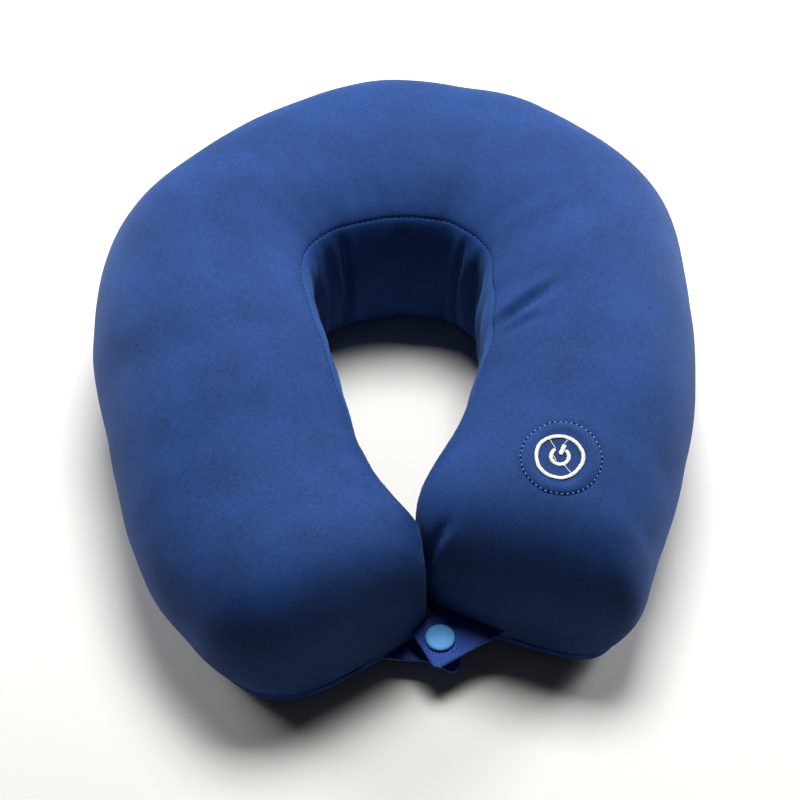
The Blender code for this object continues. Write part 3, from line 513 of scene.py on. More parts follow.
def cloth_piece(name, points, normals, uv, material, keep=None):
    """A sewn panel with a thickness: an outer and an inner layer joined round every border."""
    rows, columns = points.shape[:2]
    outer = grid_faces(rows, columns, keep)
    count = rows * columns
    inner = outer[:, ::-1] + count
    rim = np.array([(b, a, a + count, b + count) for a, b in border_edges(outer)])
    flat = points.reshape(-1, 3)
    out = normals.reshape(-1, 3)
    both = np.concatenate((flat, flat - out * FABRIC))
    faces = np.concatenate((outer, inner, rim))
    used = np.unique(faces)
    index = np.zeros(2 * count, int)
    index[used] = np.arange(len(used))
    both_normals = np.concatenate((out, -out))[used]
    both_uv = np.concatenate((uv.reshape(-1, 2), uv.reshape(-1, 2)))[used]
    return make_piece(name, both[used], index[faces], material, both_uv, both_normals)


def cloth_uv(points, crest):
    """Lengths along and round the cloth, measured from the crest column."""
    v = running(np.linalg.norm(np.diff(points, axis=1), axis=-1))
    v = v - v[:, crest:crest + 1]
    u = path_travel(points[:, crest])
    return np.stack((np.broadcast_to(u[:, None], v.shape), v), -1)


def join_meshes(parts):
    """One list of points and one of faces from many (points, faces)."""
    points, faces, start = [], [], 0
    for part_points, part_faces in parts:
        points.append(part_points)
        faces += [tuple(start + k for k in face) for face in part_faces]
        start += len(part_points)
    return np.concatenate(points), faces


def sleeve_faces(rings, sides):
    """Faces between rings of points, and one over each end."""
    faces = []
    for i in range(rings - 1):
        for k in range(sides):
            a = i * sides + k
            b = i * sides + (k + 1) % sides
            faces.append((a, b, b + sides, a + sides))
    faces.append(tuple(range(sides))[::-1])
    faces.append(tuple(range((rings - 1) * sides, rings * sides)))
    return faces


def capsule(length, width, height, segments=8, rings=5):
    """A thread lying along X, rounded at both ends, as points and faces."""
    points = []
    for i in range(rings + 1):
        t = math.pi * i / rings
        x = -math.cos(t) * length / 2
        r = max(math.sin(t), 0.02) ** 0.6
        for k in range(segments):
            a = 2 * math.pi * k / segments
            points.append((x, r * math.cos(a) * width / 2, r * math.sin(a) * height / 2))
    return np.array(points), sleeve_faces(rings + 1, segments)


def placed(shape, centre, x_axis, z_axis):
    x = np.asarray(x_axis, float) / np.linalg.norm(x_axis)
    z = np.asarray(z_axis, float)
    z = z - x * (z @ x)
    z /= np.linalg.norm(z)
    turn = np.stack((x, np.cross(z, x), z))
    return shape[0] @ turn + np.asarray(centre, float), shape[1]


def stitches_along(path, normals, pitch, length, width, height):
    """Threads laid end to end along a path of points."""
    travel = path_travel(path)
    shape = capsule(length, width, height)
    parts = []
    for place in np.arange(pitch / 2, travel[-1], pitch):
        here = on_path(path, travel, place)
        ahead = on_path(path, travel, place + 0.3) - here
        if np.linalg.norm(ahead) > 1e-6:
            parts.append(placed(shape, here, ahead, on_path(normals, travel, place)))
    return join_meshes(parts)


def swept(path, radius, sides):
    """A round bar along a path, as points and faces."""
    along = np.gradient(path, axis=0)
    along /= np.linalg.norm(along, axis=1, keepdims=True)
    side = np.cross(along[0], (0.3, 0.2, 0.93))
    points = []
    for centre, ahead in zip(path, along):
        side = side - ahead * (side @ ahead)
        side = side / np.linalg.norm(side)
        other = np.cross(ahead, side)
        for k in range(sides):
            a = 2 * math.pi * k / sides
            points.append(centre + (side * math.cos(a) + other * math.sin(a)) * radius)
    return np.array(points), sleeve_faces(len(path), sides)


def turned(profile, segments=64):
    """A profile of (radius, z) turned round Z; it starts and ends on the axis."""
    points, rings = [], []
    for radius, z in profile:
        if radius == 0:
            rings.append([len(points)] * segments)
            points.append((0.0, 0.0, z))
            continue
        rings.append(list(range(len(points), len(points) + segments)))
        for k in range(segments):
            a = 2 * math.pi * k / segments
            points.append((radius * math.cos(a), radius * math.sin(a), z))
    faces = []
    for lower, upper in zip(rings, rings[1:]):
        for k in range(segments):
            n = (k + 1) % segments
            corners = dict.fromkeys((lower[k], lower[n], upper[n], upper[k]))
            faces.append(tuple(corners))
    return np.array(points), faces


def rounded(profile, radius=0.35, steps=4):
    """A turned profile with its corners rounded."""
    result = [profile[0]]
    for before, corner, after in zip(profile, profile[1:], profile[2:]):
        corner = np.array(corner, float)
        back = np.array(before, float) - corner
        on = np.array(after, float) - corner
        reach = min(radius, np.linalg.norm(back) / 2.1, np.linalg.norm(on) / 2.1)
        start = corner + back / np.linalg.norm(back) * reach
        end = corner + on / np.linalg.norm(on) * reach
        for t in np.linspace(0, 1, steps):
            point = start * (1 - t) ** 2 + corner * 2 * t * (1 - t) + end * t ** 2
            result.append((max(float(point[0]), 0.001), float(point[1])))
    result.append(profile[-1])
    return result


# Materials.

def linear(red, green, blue):
    """A colour from its screen values, 0 to 255."""
    return tuple(c / 255 / 12.92 if c <= 10 else ((c / 255 + 0.055) / 1.055) ** 2.4
                 for c in (red, green, blue))


WAVE_UNIT = math.pi / 10   # the wave texture's scale at which one band is one unit wide


class Nodes:
    """A new material with short calls for the nodes that its looks need."""

    def __init__(self, name, roughness, metallic=0.0, sheen=0.0, sheen_tint=None, coat=0.0, specular=None):
        self.material = bpy.data.materials.new(name)
        self.material.use_nodes = True
        self.tree = self.material.node_tree
        self.shader = self.tree.nodes["Principled BSDF"]
        self.shader.inputs["Roughness"].default_value = roughness
        self.shader.inputs["Metallic"].default_value = metallic
        if sheen:
            self.shader.inputs["Sheen Weight"].default_value = sheen
            self.shader.inputs["Sheen Roughness"].default_value = 0.45
            self.shader.inputs["Sheen Tint"].default_value = (*sheen_tint, 1)
        if coat:
            self.shader.inputs["Coat Weight"].default_value = coat
        if specular is not None:
            self.shader.inputs["Specular IOR Level"].default_value = specular

    def node(self, kind, inputs=None, **settings):
        node = self.tree.nodes.new(kind)
        for key, value in settings.items():
            setattr(node, key, value)
        for key, value in (inputs or {}).items():
            if isinstance(value, bpy.types.NodeSocket):
                self.tree.links.new(value, node.inputs[key])
            else:
                node.inputs[key].default_value = value
        return node

    def place(self, source, scale):
        """Texture coordinates in millimetres, scaled along each axis."""
        coordinates = self.node("ShaderNodeTexCoord")
        size = tuple(s / MM for s in scale)
        return self.node("ShaderNodeMapping", {"Vector": coordinates.outputs[source],
                                               "Scale": size}).outputs[0]

    def noise(self, source, scale, detail=3.0):
        return self.node("ShaderNodeTexNoise", {"Vector": self.place(source, scale), "Scale": 1.0,
                                                "Detail": detail, "Roughness": 0.55}).outputs["Fac"]

    def wave(self, source, scale, distortion=0.0, detail=0.0, along="X"):
        """Parallel threads: one for each unit of the scaled axis."""
        return self.node("ShaderNodeTexWave", {"Vector": self.place(source, scale), "Scale": WAVE_UNIT,
                                               "Distortion": distortion, "Detail": detail},
                         bands_direction=along).outputs["Fac"]

    def maths(self, operation, a, b=0.0):
        return self.node("ShaderNodeMath", {0: a, 1: b}, operation=operation).outputs[0]

    def mean(self, a, b):
        return self.maths("MULTIPLY", self.maths("ADD", a, b), 0.5)

    def spread(self, value, low, high, to_low, to_high):
        return self.node("ShaderNodeMapRange", {"Value": value, "From Min": low, "From Max": high,
                                                "To Min": to_low, "To Max": to_high}).outputs[0]

    def shades(self, value, dark, light):
        """The base colour, from dark to light as the value goes from 0 to 1."""
        mix = self.node("ShaderNodeMix", {0: value, 6: (*dark, 1), 7: (*light, 1)}, data_type="RGBA")
        self.tree.links.new(mix.outputs[2], self.shader.inputs["Base Color"])

    def bump(self, height, strength, distance):
        bump = self.node("ShaderNodeBump", {"Height": height, "Strength": strength,
                                            "Distance": distance * MM})
        self.tree.links.new(bump.outputs[0], self.shader.inputs["Normal"])

    def roughness(self, value):
        self.tree.links.new(value, self.shader.inputs["Roughness"])


def scaled(colour, factor):
    return tuple(min(1.0, c * factor) for c in colour)


STITCH = 0.62              # the knit's pitch
THREAD = 0.22              # the twist of the sewing and embroidery threads


def knit(name, colour, contrast=0.24, sheen=0.07):
    """Fine jersey: rows of stitches, uneven yarn that shows as short streaks, and a soft bloom."""
    m = Nodes(name, 0.78, sheen=sheen, sheen_tint=(0.25, 0.50, 1.0), specular=0.14)
    size = (1 / STITCH,) * 3
    wales = m.wave("UV", size, 0.5, 1.0)
    courses = m.wave("UV", size, 0.5, 1.0, along="Y")
    stitches = m.maths("MULTIPLY", wales, courses)
    streak_u = m.noise("UV", (0.25, 1.3, 1.3))
    streak_v = m.noise("UV", (1.3, 0.25, 1.3))
    streaks = m.maths("ADD", streak_u, streak_v)
    cloudy = m.noise("UV", (0.035, 0.035, 0.035), 2.0)
    speck = m.noise("UV", (0.9, 0.9, 0.9))
    tone = m.maths("ADD", m.spread(streaks, 0.7, 1.3, -0.5, 0.5), m.spread(cloudy, 0.3, 0.7, -0.3, 0.3))
    tone = m.maths("ADD", tone, m.spread(speck, 0.3, 0.7, -0.35, 0.35))
    tone = m.maths("ADD", tone, m.spread(stitches, 0.0, 1.0, -0.30, 0.22))
    tone = m.spread(tone, -1.0, 1.0, 0.0, 1.0)
    m.shades(tone, scaled(colour, 1 - 2 * contrast), scaled(colour, 1 + 2 * contrast))
    height = m.maths("ADD", m.maths("MULTIPLY", stitches, 0.7), m.maths("MULTIPLY", courses, 0.12))
    height = m.maths("ADD", height, m.maths("MULTIPLY", streaks, 0.5))
    m.bump(height, 0.35, 0.14)
    return m.material


def woven(name, colour, pitch):
    m = Nodes(name, 0.7, sheen=0.2, sheen_tint=(0.5, 0.65, 1.0), specular=0.3)
    fine = m.noise("Object", (3.0, 3.0, 3.0))
    slow = m.noise("Object", (0.25, 0.25, 0.25), 2.0)
    threads = m.wave("Object", (1 / pitch,) * 3, 1.2, 1.0, along="DIAGONAL")
    tone = m.maths("ADD", m.maths("MULTIPLY", fine, 0.45), m.maths("MULTIPLY", slow, 0.25))
    tone = m.maths("ADD", tone, m.maths("MULTIPLY", threads, 0.30))
    m.shades(tone, scaled(colour, 0.6), scaled(colour, 1.4))
    m.bump(m.maths("ADD", fine, threads), 0.5, 0.12)
    return m.material


def webbing_look(name, colour):
    """Herringbone webbing: u counts its ribs, and the grooves between them are painted dark as painted shade,
    in step with the ribs' relief.
    """
    m = Nodes(name, 0.7, sheen=0.15, sheen_tint=(0.5, 0.65, 1.0), specular=0.3)
    ribs = m.node("ShaderNodeSeparateXYZ", {0: m.place("UV", (1, 1, 1))}).outputs[0]
    groove = m.maths("COSINE", m.maths("MULTIPLY", ribs, 2 * math.pi))
    fibres = m.noise("Object", (3.5, 3.5, 3.5))
    # The dark end of this mix, at the grooves between the ribs, is painted shade.
    tone = m.maths("ADD", m.spread(groove, -1.0, 0.6, 0.0, 0.7), m.spread(fibres, 0.3, 0.7, -0.15, 0.3))
    m.shades(tone, scaled(colour, 0.25), scaled(colour, 1.3))
    m.bump(fibres, 0.5, 0.12)
    return m.material


def thread_look(name, colour):
    """Twisted embroidery or sewing thread with a satin gloss."""
    m = Nodes(name, 0.6, specular=0.12)
    fibres = m.wave("Object", (1 / THREAD, 0.6 / THREAD, 0.4 / THREAD), 2.0, 2.0)
    m.shades(m.mean(fibres, m.noise("Object", (5, 5, 5))), scaled(colour, 0.72), scaled(colour, 1.15))
    m.bump(fibres, 0.4, 0.05)
    return m.material


def plastic(name, colour, roughness, specular=0.5):
    m = Nodes(name, roughness, specular=specular)
    fine = m.noise("Object", (1.5, 1.5, 1.5))
    slow = m.noise("Object", (0.08, 0.08, 0.08), 2.0)
    m.shades(m.mean(fine, slow), scaled(colour, 0.93), scaled(colour, 1.07))
    m.roughness(m.spread(slow, 0.3, 0.7, roughness * 0.85, min(1.0, roughness * 1.2)))
    m.bump(fine, 0.12, 0.06)
    return m.material


def metal(name, colour, roughness, metallic=1.0):
    m = Nodes(name, roughness, metallic=metallic)
    brushed = m.noise("Object", (0.4, 4.0, 4.0), 4.0)
    worn = m.noise("Object", (0.6, 0.6, 0.6))
    m.shades(m.mean(brushed, worn), scaled(colour, 0.75), scaled(colour, 1.2))
    m.roughness(m.spread(brushed, 0.3, 0.7, roughness * 0.7, roughness * 1.5))
    m.bump(brushed, 0.15, 0.04)
    return m.material


def cell_look():
    """The dark plastic sleeve of an AA cell."""
    m = Nodes("cell_wrap", 0.3, coat=0.4, specular=0.5)
    fine = m.noise("Object", (1.5, 1.5, 1.5), 2.0)
    m.shades(fine, linear(44, 46, 52), linear(66, 70, 78))
    m.bump(fine, 0.05, 0.05)
    return m.material


COVER_BLUE = (0.0062, 0.029, 0.120)
LOOKS = {
    "cover": knit("cover_knit", COVER_BLUE),
    # The gusset's knit is the cover's blue made lighter: painted light standing in for fill light on the
    # shaded inner wall.
    "gusset": knit("gusset_knit", scaled(COVER_BLUE, 1.35), contrast=0.14, sheen=0.10),
    # The bottom's knit is the cover's blue made lighter: painted light standing in for the floor's bounce
    # light under the arms.
    "bottom": knit("bottom_knit", scaled(COVER_BLUE, 1.3)),
    "bag": woven("bag_cloth", linear(214, 214, 208), 0.8),
    "webbing": webbing_look("webbing", (0.020, 0.070, 0.370)),
    "tape": woven("zip_tape", linear(24, 44, 92), 0.6),
    "white_thread": thread_look("white_thread", linear(210, 211, 200)),
    "seam_thread": thread_look("seam_thread", linear(5, 11, 46)),
    "patch_thread": thread_look("patch_thread", linear(92, 128, 186)),
    "snap": plastic("snap_plastic", (0.062, 0.255, 0.56), 0.55, specular=0.16),
    "coil": plastic("zip_coil", linear(20, 38, 84), 0.35),
    "black": plastic("black_plastic", linear(26, 26, 28), 0.5),
    "case": plastic("case_plastic", linear(212, 212, 208), 0.45),
    "zip_metal": metal("zip_metal", linear(58, 84, 140), 0.35, 0.7),
    "steel": metal("plated_steel", linear(196, 196, 194), 0.3),
    "brass": metal("brass", linear(196, 158, 84), 0.35),
    "cell": cell_look(),
    # A near-black look for the needle holes: painted shade in the holes.
    "shaded_hole": plastic("needle_hole_painted_shade", linear(5, 10, 34), 0.9, specular=0.02),
}


# The cover.

def declare(piece, slot, *nodes, body=None, blend=None, fill=None):
    """Attach a piece to the empty of the body it rides on, or bake its transform where it has a blend, and
    hide the CAD nodes that it replaces.
    """
    if blend:
        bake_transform(piece)
    else:
        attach(piece, body)
    if nodes:
        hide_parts(*nodes)
    return piece


def arm_blend(side):
    start, end = ARM_BLENDS[side]
    return "back", f"{side}_arm", start, end


def halves(rows):
    middle = int(np.argmin(abs(rows - MIDDLE)))
    return (("left", slice(0, middle + 1)), ("right", slice(middle, len(rows))))


def add_panel(panel, node, look, slot, fill, rows, grid, keep=None):
    """A panel's halves from its points, normals and uv; the left one also stands for the CAD's back."""
    for side, part in halves(rows):
        nodes = (f"{node}_left", f"{node}_back") if side == "left" else (f"{node}_right",)
        kept = None if keep is None else keep[part.start:part.stop - 1]
        piece = cloth_piece(f"cover_{panel}_{side}", *(values[part] for values in grid), LOOKS[look], kept)
        declare(piece, slot, *nodes, blend=arm_blend(side), fill=fill)


def zip_knots():
    """The knots at which the zip's slot starts and ends."""
    knots = np.linspace(0.3, 2.0, 400)
    z = tube(MIDDLE, knots)[:, 2]
    return np.interp((ZIP_HEIGHT - ZIP_SLOT, ZIP_HEIGHT + ZIP_SLOT), z, knots)


def make_top_panels(rows, slack):
    """The top, open at the zip and the button; returns its surface without the button's dimple."""
    low, high = zip_knots()
    columns = knots_for(0, 7, extra=(low, high))
    bend = 4.6
    seam = gusset_seam(rows)
    around = np.where(columns[None] <= bend, columns[None],
                      bend + (columns[None] - bend) / (7 - bend) * (seam[:, None] - bend))
    edges = (LOW_TUCK, TUCK)
    points, normals = cloth_surface(rows[:, None], around, edges, slack=slack)
    bare, _ = cloth_surface(rows[:, None], around, edges, dimple=False, slack=slack)
    crest = int(np.argmin(abs(columns - 4.3)))
    centres = (points[:-1, :-1] + points[1:, 1:]) / 2
    keep = np.ones(centres.shape[:2], bool)
    first = int(np.argmin(abs(columns - low)))
    last = int(np.argmin(abs(columns - high)))
    in_slot = abs(zip_angle(centres) - 90) < ZIP_HALF_ANGLE + 0.6
    keep[:, first:last] &= ~in_slot[:, first:last]
    keep &= np.linalg.norm(centres - BUTTON_CENTRE, axis=-1) > PATCH_RADIUS - 4.5
    grid = (points, normals, cloth_uv(points, crest))
    add_panel("top", "top_panel", "cover", "cover_fabric", 0.85, rows, grid, keep)
    return bare


def make_gusset_panels(rows, slack):
    rows = rows[(rows >= GUSSET_START) & (rows <= GUSSET_END)]
    t = (knots_for(7, GUSSET_FOOT) - 7) / (GUSSET_FOOT - 7)
    seam = gusset_seam(rows)[:, None]
    around = seam + t[None] * (GUSSET_FOOT - seam)
    points, normals = cloth_surface(rows[:, None], around, (TUCK, TUCK), gusset=True, slack=slack)
    grid = (points, normals, cloth_uv(points, len(t) // 2))
    add_panel("gusset", "neck_gusset", "gusset", "gusset_fabric", 0.7, rows, grid)


def make_bottom_panels(rows, slack):
    around = knots_for(GUSSET_FOOT, KNOTS)
    points, normals = cloth_surface(rows[:, None], around[None], (TUCK, LOW_TUCK), slack=slack)
    grid = (points, normals, cloth_uv(points, len(around) // 2))
    add_panel("bottom", "bottom_panel", "bottom", "bottom_fabric", 0.85, rows, grid)


def make_seam_threads(rows, slack):
    """Stitches in the grooves of the seams."""
    everywhere = np.ones(len(rows), bool)
    seams = ((gusset_seam(rows), (rows > GUSSET_START) & (rows < GUSSET_END), TUCK),
             (np.zeros(len(rows)), everywhere, LOW_TUCK),
             (np.full(len(rows), float(GUSSET_FOOT)), everywhere, TUCK))
    for side in ("left", "right"):
        parts = []
        for knots, wanted, depth in seams:
            here = wanted & ((rows <= MIDDLE) if side == "left" else (rows >= MIDDLE))
            around = knots[:, None] + np.array((-0.04, 0.0, 0.04))[None]
            points, normals = cloth_surface(rows[:, None], around, (0, 0), slack=slack)
            path = points[here, 1] - normals[here, 1] * depth * 0.7
            parts.append(stitches_along(path, normals[here, 1], pitch=2.7, length=1.8, width=0.85,
                                        height=0.35))
        points, faces = join_meshes(parts)
        piece = make_piece(f"seam_threads_{side}", points, faces, LOOKS["seam_thread"])
        declare(piece, "thread", blend=arm_blend(side))


BAG_DEPTH = 6.5            # from the tube's surface to the outside of the bead bags


def make_bags():
    """The inner bags of microbeads: a thin cloth shell under the cover, with room for the zip."""
    rows = row_distances(BAG_DEPTH - 0.5)
    if len(rows) % 4 == 1:
        rows = rows[::2]
    else:
        half = len(rows) // 2
        rows = np.concatenate((rows[:half:2], (MIDDLE,), rows[half + 2::2]))
    around = np.linspace(0, KNOTS, 76)
    points = tube(rows[:, None], around[None], inset=BAG_DEPTH)
    limit = ZIP_RADIUS - 1.5 - BAG_DEPTH
    points = to_zip_arc(points, lambda radius: np.minimum(radius, limit), (34, 12), 20)
    normals = grid_normals(points)
    uv = cloth_uv(points, 20)
    for side, part in halves(rows):
        piece = cloth_piece(f"bead_bag_{side}", points[part], normals[part], uv[part], LOOKS["bag"])
        if side == "right":
            cut_recess(piece)
        nodes = ("filling_left", "filling_back") if side == "left" else ("filling_right",)
        declare(piece, "filling", *nodes, blend=arm_blend(side), fill=0.8)


def button_frame():
    """Axes of the button: x to the right, y away from the wearer's front, z out."""
    z = BUTTON_NORMAL
    x = np.array((1.0, 0, 0)) - z * z[0]
    x /= np.linalg.norm(x)
    return np.stack((x, np.cross(z, x), z))


def cut_recess(piece):
    """Open the bag round the switch housing."""
    turn = button_frame()
    profile = ((0, -32), (16.5, -32), (16.5, 14), (0, 14))
    points, faces = turned(profile, 48)
    cutter = make_piece("recess_cutter", points @ turn + BUTTON_CENTRE, faces, LOOKS["bag"])
    modifier = piece.modifiers.new("recess", "BOOLEAN")
    modifier.object = cutter
    apply_modifiers(piece)
    bpy.data.objects.remove(cutter)


def apply_modifiers(piece):
    graph = bpy.context.evaluated_depsgraph_get()
    piece.data = bpy.data.meshes.new_from_object(piece.evaluated_get(graph))
    piece.modifiers.clear()


# The power button.

def make_button(bare):
    """The stitched cloth disc, its threads, dark marks painted as the shade in its needle holes, and the
    embroidered mark.
    """
    turn = button_frame()
    rows, columns = bare.shape[:2]
    near = (bare.reshape(-1, 3) - BUTTON_CENTRE) @ turn.T
    faces = grid_faces(rows, columns)
    close = np.linalg.norm(near[faces[:, 0]], axis=1) < 45
    tree = BVHTree.FromPolygons(near.tolist(), faces[close].tolist())

    def cover_height(x, y):
        hit = tree.ray_cast(Vector((x, y, 30)), Vector((0, 0, -1)))[0]
        return hit.z if hit else -2.0

    rings = np.concatenate((np.linspace(0.05, 12.6, 14), np.linspace(13.2, PATCH_RADIUS - 0.9, 9),
                            PATCH_RADIUS + np.array((-0.55, -0.2, 0.15, 0.5, 0.8))))
    segments = 120
    points = []
    for r in rings:
        for k in range(segments):
            a = 2 * math.pi * k / segments
            x, y = r * math.cos(a), r * math.sin(a)
            under = cover_height(x, y)
            flat = 0.22 - 0.10 * (r / 12.6) ** 2 + 0.12 * math.sin(2 * a + 0.6) * smooth_step(3, 12, r)
            puff = 0.45 * math.sin(math.pi * min(max((r - 12) / 7.0, 0), 1)) ** 1.2
            seam = -0.55 * math.exp(-((r - PATCH_RADIUS + 0.5) / 0.45) ** 2)
            blend = smooth_step(12.8, PATCH_RADIUS - 0.8, r)
            z = flat * (1 - blend) + (under + 0.42) * blend + puff + seam
            z -= 0.9 * smooth_step(PATCH_RADIUS - 0.3, PATCH_RADIUS + 0.8, r)
            points.append((x, y, z))
    count = len(rings)
    points = np.array(points).reshape(count, segments, 3)
    closed = np.concatenate((points, points[:, :1]), 1)
    normals = grid_normals(closed)
    if normals[5, 0, 2] < 0:
        normals = -normals
    thick = closed[:, :-1].reshape(-1, 3)
    under_side = thick - np.array((0, 0, 0.7))
    faces = []
    for i in range(count - 1):
        for k in range(segments):
            n = (k + 1) % segments
            faces.append((i * segments + k, (i + 1) * segments + k, (i + 1) * segments + n, i * segments + n))
    total = count * segments
    faces += [tuple(total + c for c in face[::-1]) for face in faces]
    faces.append(tuple(range(segments)))
    faces.append(tuple(total + k for k in range(segments))[::-1])
    for k in range(segments):
        n = (k + 1) % segments
        a, b = (count - 1) * segments + k, (count - 1) * segments + n
        faces.append((b, a, a + total, b + total))
    both = np.concatenate((thick, under_side))
    disc = make_piece("button_cloth", both @ turn + BUTTON_CENTRE, faces, LOOKS["cover"], uv=both[:, :2])
    start = (BUTTON_CENTRE - BUTTON_NORMAL * 1.0) * MM
    end = (BUTTON_CENTRE + BUTTON_NORMAL * 0.1) * MM
    declare(disc, "cover_fabric", "button_patch", blend=("right_arm", "power_button", start, end), fill=0.3)

    def on_disc(x, y, lift):
        r, a = math.hypot(x, y), math.atan2(y, x)
        i = min(int(np.searchsorted(rings, r)), count - 1)
        return np.array((x, y, points[i, int(round(a / (2 * math.pi) * segments)) % segments, 2] + lift))

    threads, holes = [], []
    stitches = 46
    for k in range(stitches):
        a = 2 * math.pi * k / stitches
        wobble = random.normal(0, 0.12)
        r = PATCH_RADIUS - 0.5 + wobble
        along = (-math.sin(a + random.normal(0, 0.12)), math.cos(a), 0)
        place = on_disc(r * math.cos(a), r * math.sin(a), 0.30)
        threads.append(placed(capsule(0.95 + random.normal(0, 0.08), 0.6, 0.45), place, along, (0, 0, 1)))
        # Between the stitches, a dark capsule for each needle hole: painted shade.
        b = a + math.pi / stitches
        place = on_disc(r * math.cos(b), r * math.sin(b), 0.10)
        holes.append(placed(capsule(1.35, 0.95, 0.34), place, (-math.sin(b), math.cos(b), 0), (0, 0, 1)))
    for name, parts, look in (("button_stitches", threads, "patch_thread"),
                              ("button_needle_holes", holes, "shaded_hole")):
        shape = join_meshes(parts)
        piece = make_piece(name, shape[0] @ turn + BUTTON_CENTRE, shape[1], LOOKS[look])
        declare(piece, "thread", body="right_arm")
    make_mark(turn)


def satin(path, width, height, closed=False, pitch=0.26):
    """A satin-stitched stroke: threads side by side across a path, on a domed pad."""
    path = np.asarray(path, float)
    if closed:
        path = np.concatenate((path, path[:1]))
    travel = path_travel(path)
    places = np.arange(0, travel[-1] - (0 if closed else pitch / 2), pitch)
    parts = []
    for place in places:
        here = on_path(path, travel, place)
        ahead = on_path(path, travel, place + 0.05)
        along = (ahead - here) / max(np.linalg.norm(ahead - here), 1e-9)
        across = np.cross((0, 0, 1), along) + along * random.normal(0.12, 0.07)
        from_end = width if closed else min(place, travel[-1] - place)
        length = width * (1 + random.normal(0, 0.05)) * min(1, 0.6 + 1.3 * from_end / width)
        shift = across * random.normal(0, 0.05)
        shape = capsule(length, pitch * 1.55, height * (1 + random.normal(0, 0.05)), 8, 7)
        rise = np.array((0, 0, random.normal(0, 0.02)))
        parts.append(placed(shape, here + shift + rise, across, (0, 0, 1)))
    return join_meshes(parts)


def make_mark(turn):
    """An embroidered ring with the power sign inside it, and loose threads between them."""
    top = 0.48
    turns = np.linspace(0, 2 * math.pi, 180, endpoint=False)
    wobble = 0.14 * np.sin(3 * turns + 1.0) + 0.10 * np.sin(5 * turns + 2.0) + 0.05 * np.sin(11 * turns)
    ring = np.stack(((10.7 + wobble) * np.cos(turns), (10.7 + wobble) * np.sin(turns), np.full(180, top)), -1)
    ring[:, 0] += MARK_SHIFT
    open_turn = np.radians(np.linspace(116, 116 + 290, 90))
    small = np.stack((4.1 * np.cos(open_turn) + 0.2 + MARK_SHIFT, 4.1 * np.sin(open_turn) + 0.1,
                      np.full(90, top)), -1)
    bar = np.linspace((0.5 + MARK_SHIFT, 1.0, top + 0.2), (3.0 + MARK_SHIFT, 5.9, top + 0.2), 20)
    strokes = (("embroidered_mark_ring", satin(ring, 1.75, 0.7, closed=True), "embroidered_ring"),
               ("embroidered_power_ring", satin(small, 1.85, 0.7), "power_symbol_ring"),
               ("embroidered_power_bar", satin(bar, 2.1, 0.85), "power_symbol_bar"))
    for name, shape, node in strokes:
        piece = make_piece(name, shape[0] @ turn + BUTTON_CENTRE, shape[1], LOOKS["white_thread"])
        declare(piece, "thread", node, body="power_button")
    loose = (((-4.2, 10.4), (-1.5, 4.2)), ((2.6, 6.2), (5.9, 9.9)), ((1.6, -4.4), (5.2, -9.6)),
             ((-3.4, 2.4), (-1.6, -2.2)))
    parts = []
    for start, end in loose:
        path = np.linspace((*start, top + 0.42), (*end, top + 0.42), 10)
        path[:, 0] += MARK_SHIFT
        path[:, 2] -= 0.25 * np.sin(np.linspace(0, math.pi, 10))
        parts.append(swept(path, radius=0.14, sides=6))
    points, faces = join_meshes(parts)
    piece = make_piece("loose_threads", points @ turn + BUTTON_CENTRE, faces, LOOKS["white_thread"])
    declare(piece, "thread", body="power_button")


# The snap and its webbing tabs.

TAB_HALF = 12.5
TAB_END = 10.0
TAB_THICKNESS = 1.6
TABS = {
    "upper_snap_tab": {"direction": (-0.884, -0.468), "bottom": 19.8, "hinge": (31.0, -139.0),
                       "axis": (-0.863, 0.504), "arm": "right_arm", "body": "upper_tab",
                       "droop": 1.3, "folded": 0},
    "lower_snap_tab": {"direction": (0.993, -0.115), "bottom": 11.0, "hinge": (-6.0, -143.0),
                       "axis": (-0.774, -0.633), "arm": "left_arm", "body": "lower_tab",
                       "droop": 0.5, "folded": 5.0},
}
TAB_PITCH = 0.27
RIB_PITCH = 1.1
SNAP_CAP_RADIUS = 7.15


def tab_points(tab):
    """The tab's grid: lengths along and across it, and its middle surface in plan."""
    along = np.array(tab["direction"], float)
    along /= np.linalg.norm(along)
    across = np.array((-along[1], along[0]))
    axis = np.array(tab["axis"], float)
    axis /= np.linalg.norm(axis)
    off = np.array((-axis[1], axis[0]))
    off *= math.copysign(1, off @ along)
    b = np.linspace(-TAB_HALF, TAB_HALF, int(2 * TAB_HALF / TAB_PITCH) + 1)
    place = np.array(SNAP_PLACE)
    root = (-5.5 - (place + b[:, None] * across - np.array(tab["hinge"])) @ off) / (along @ off)
    ease = 2.4 * smooth_step(TAB_HALF - 4.0, TAB_HALF, abs(b)) ** 2
    end = TAB_END - ease
    steps = int((TAB_END - root.min()) / TAB_PITCH)
    t = np.linspace(0, 1, steps)[None]
    a = root[:, None] + (end - root)[:, None] * t
    b = np.broadcast_to(b[:, None], a.shape)
    if tab["folded"]:
        b = b * (1 - tab["folded"] / TAB_HALF * smooth_step(9, -8, a) * (b * across[1] < 0))
    flat = place + a[..., None] * along + b[..., None] * across
    return a, b, flat, off


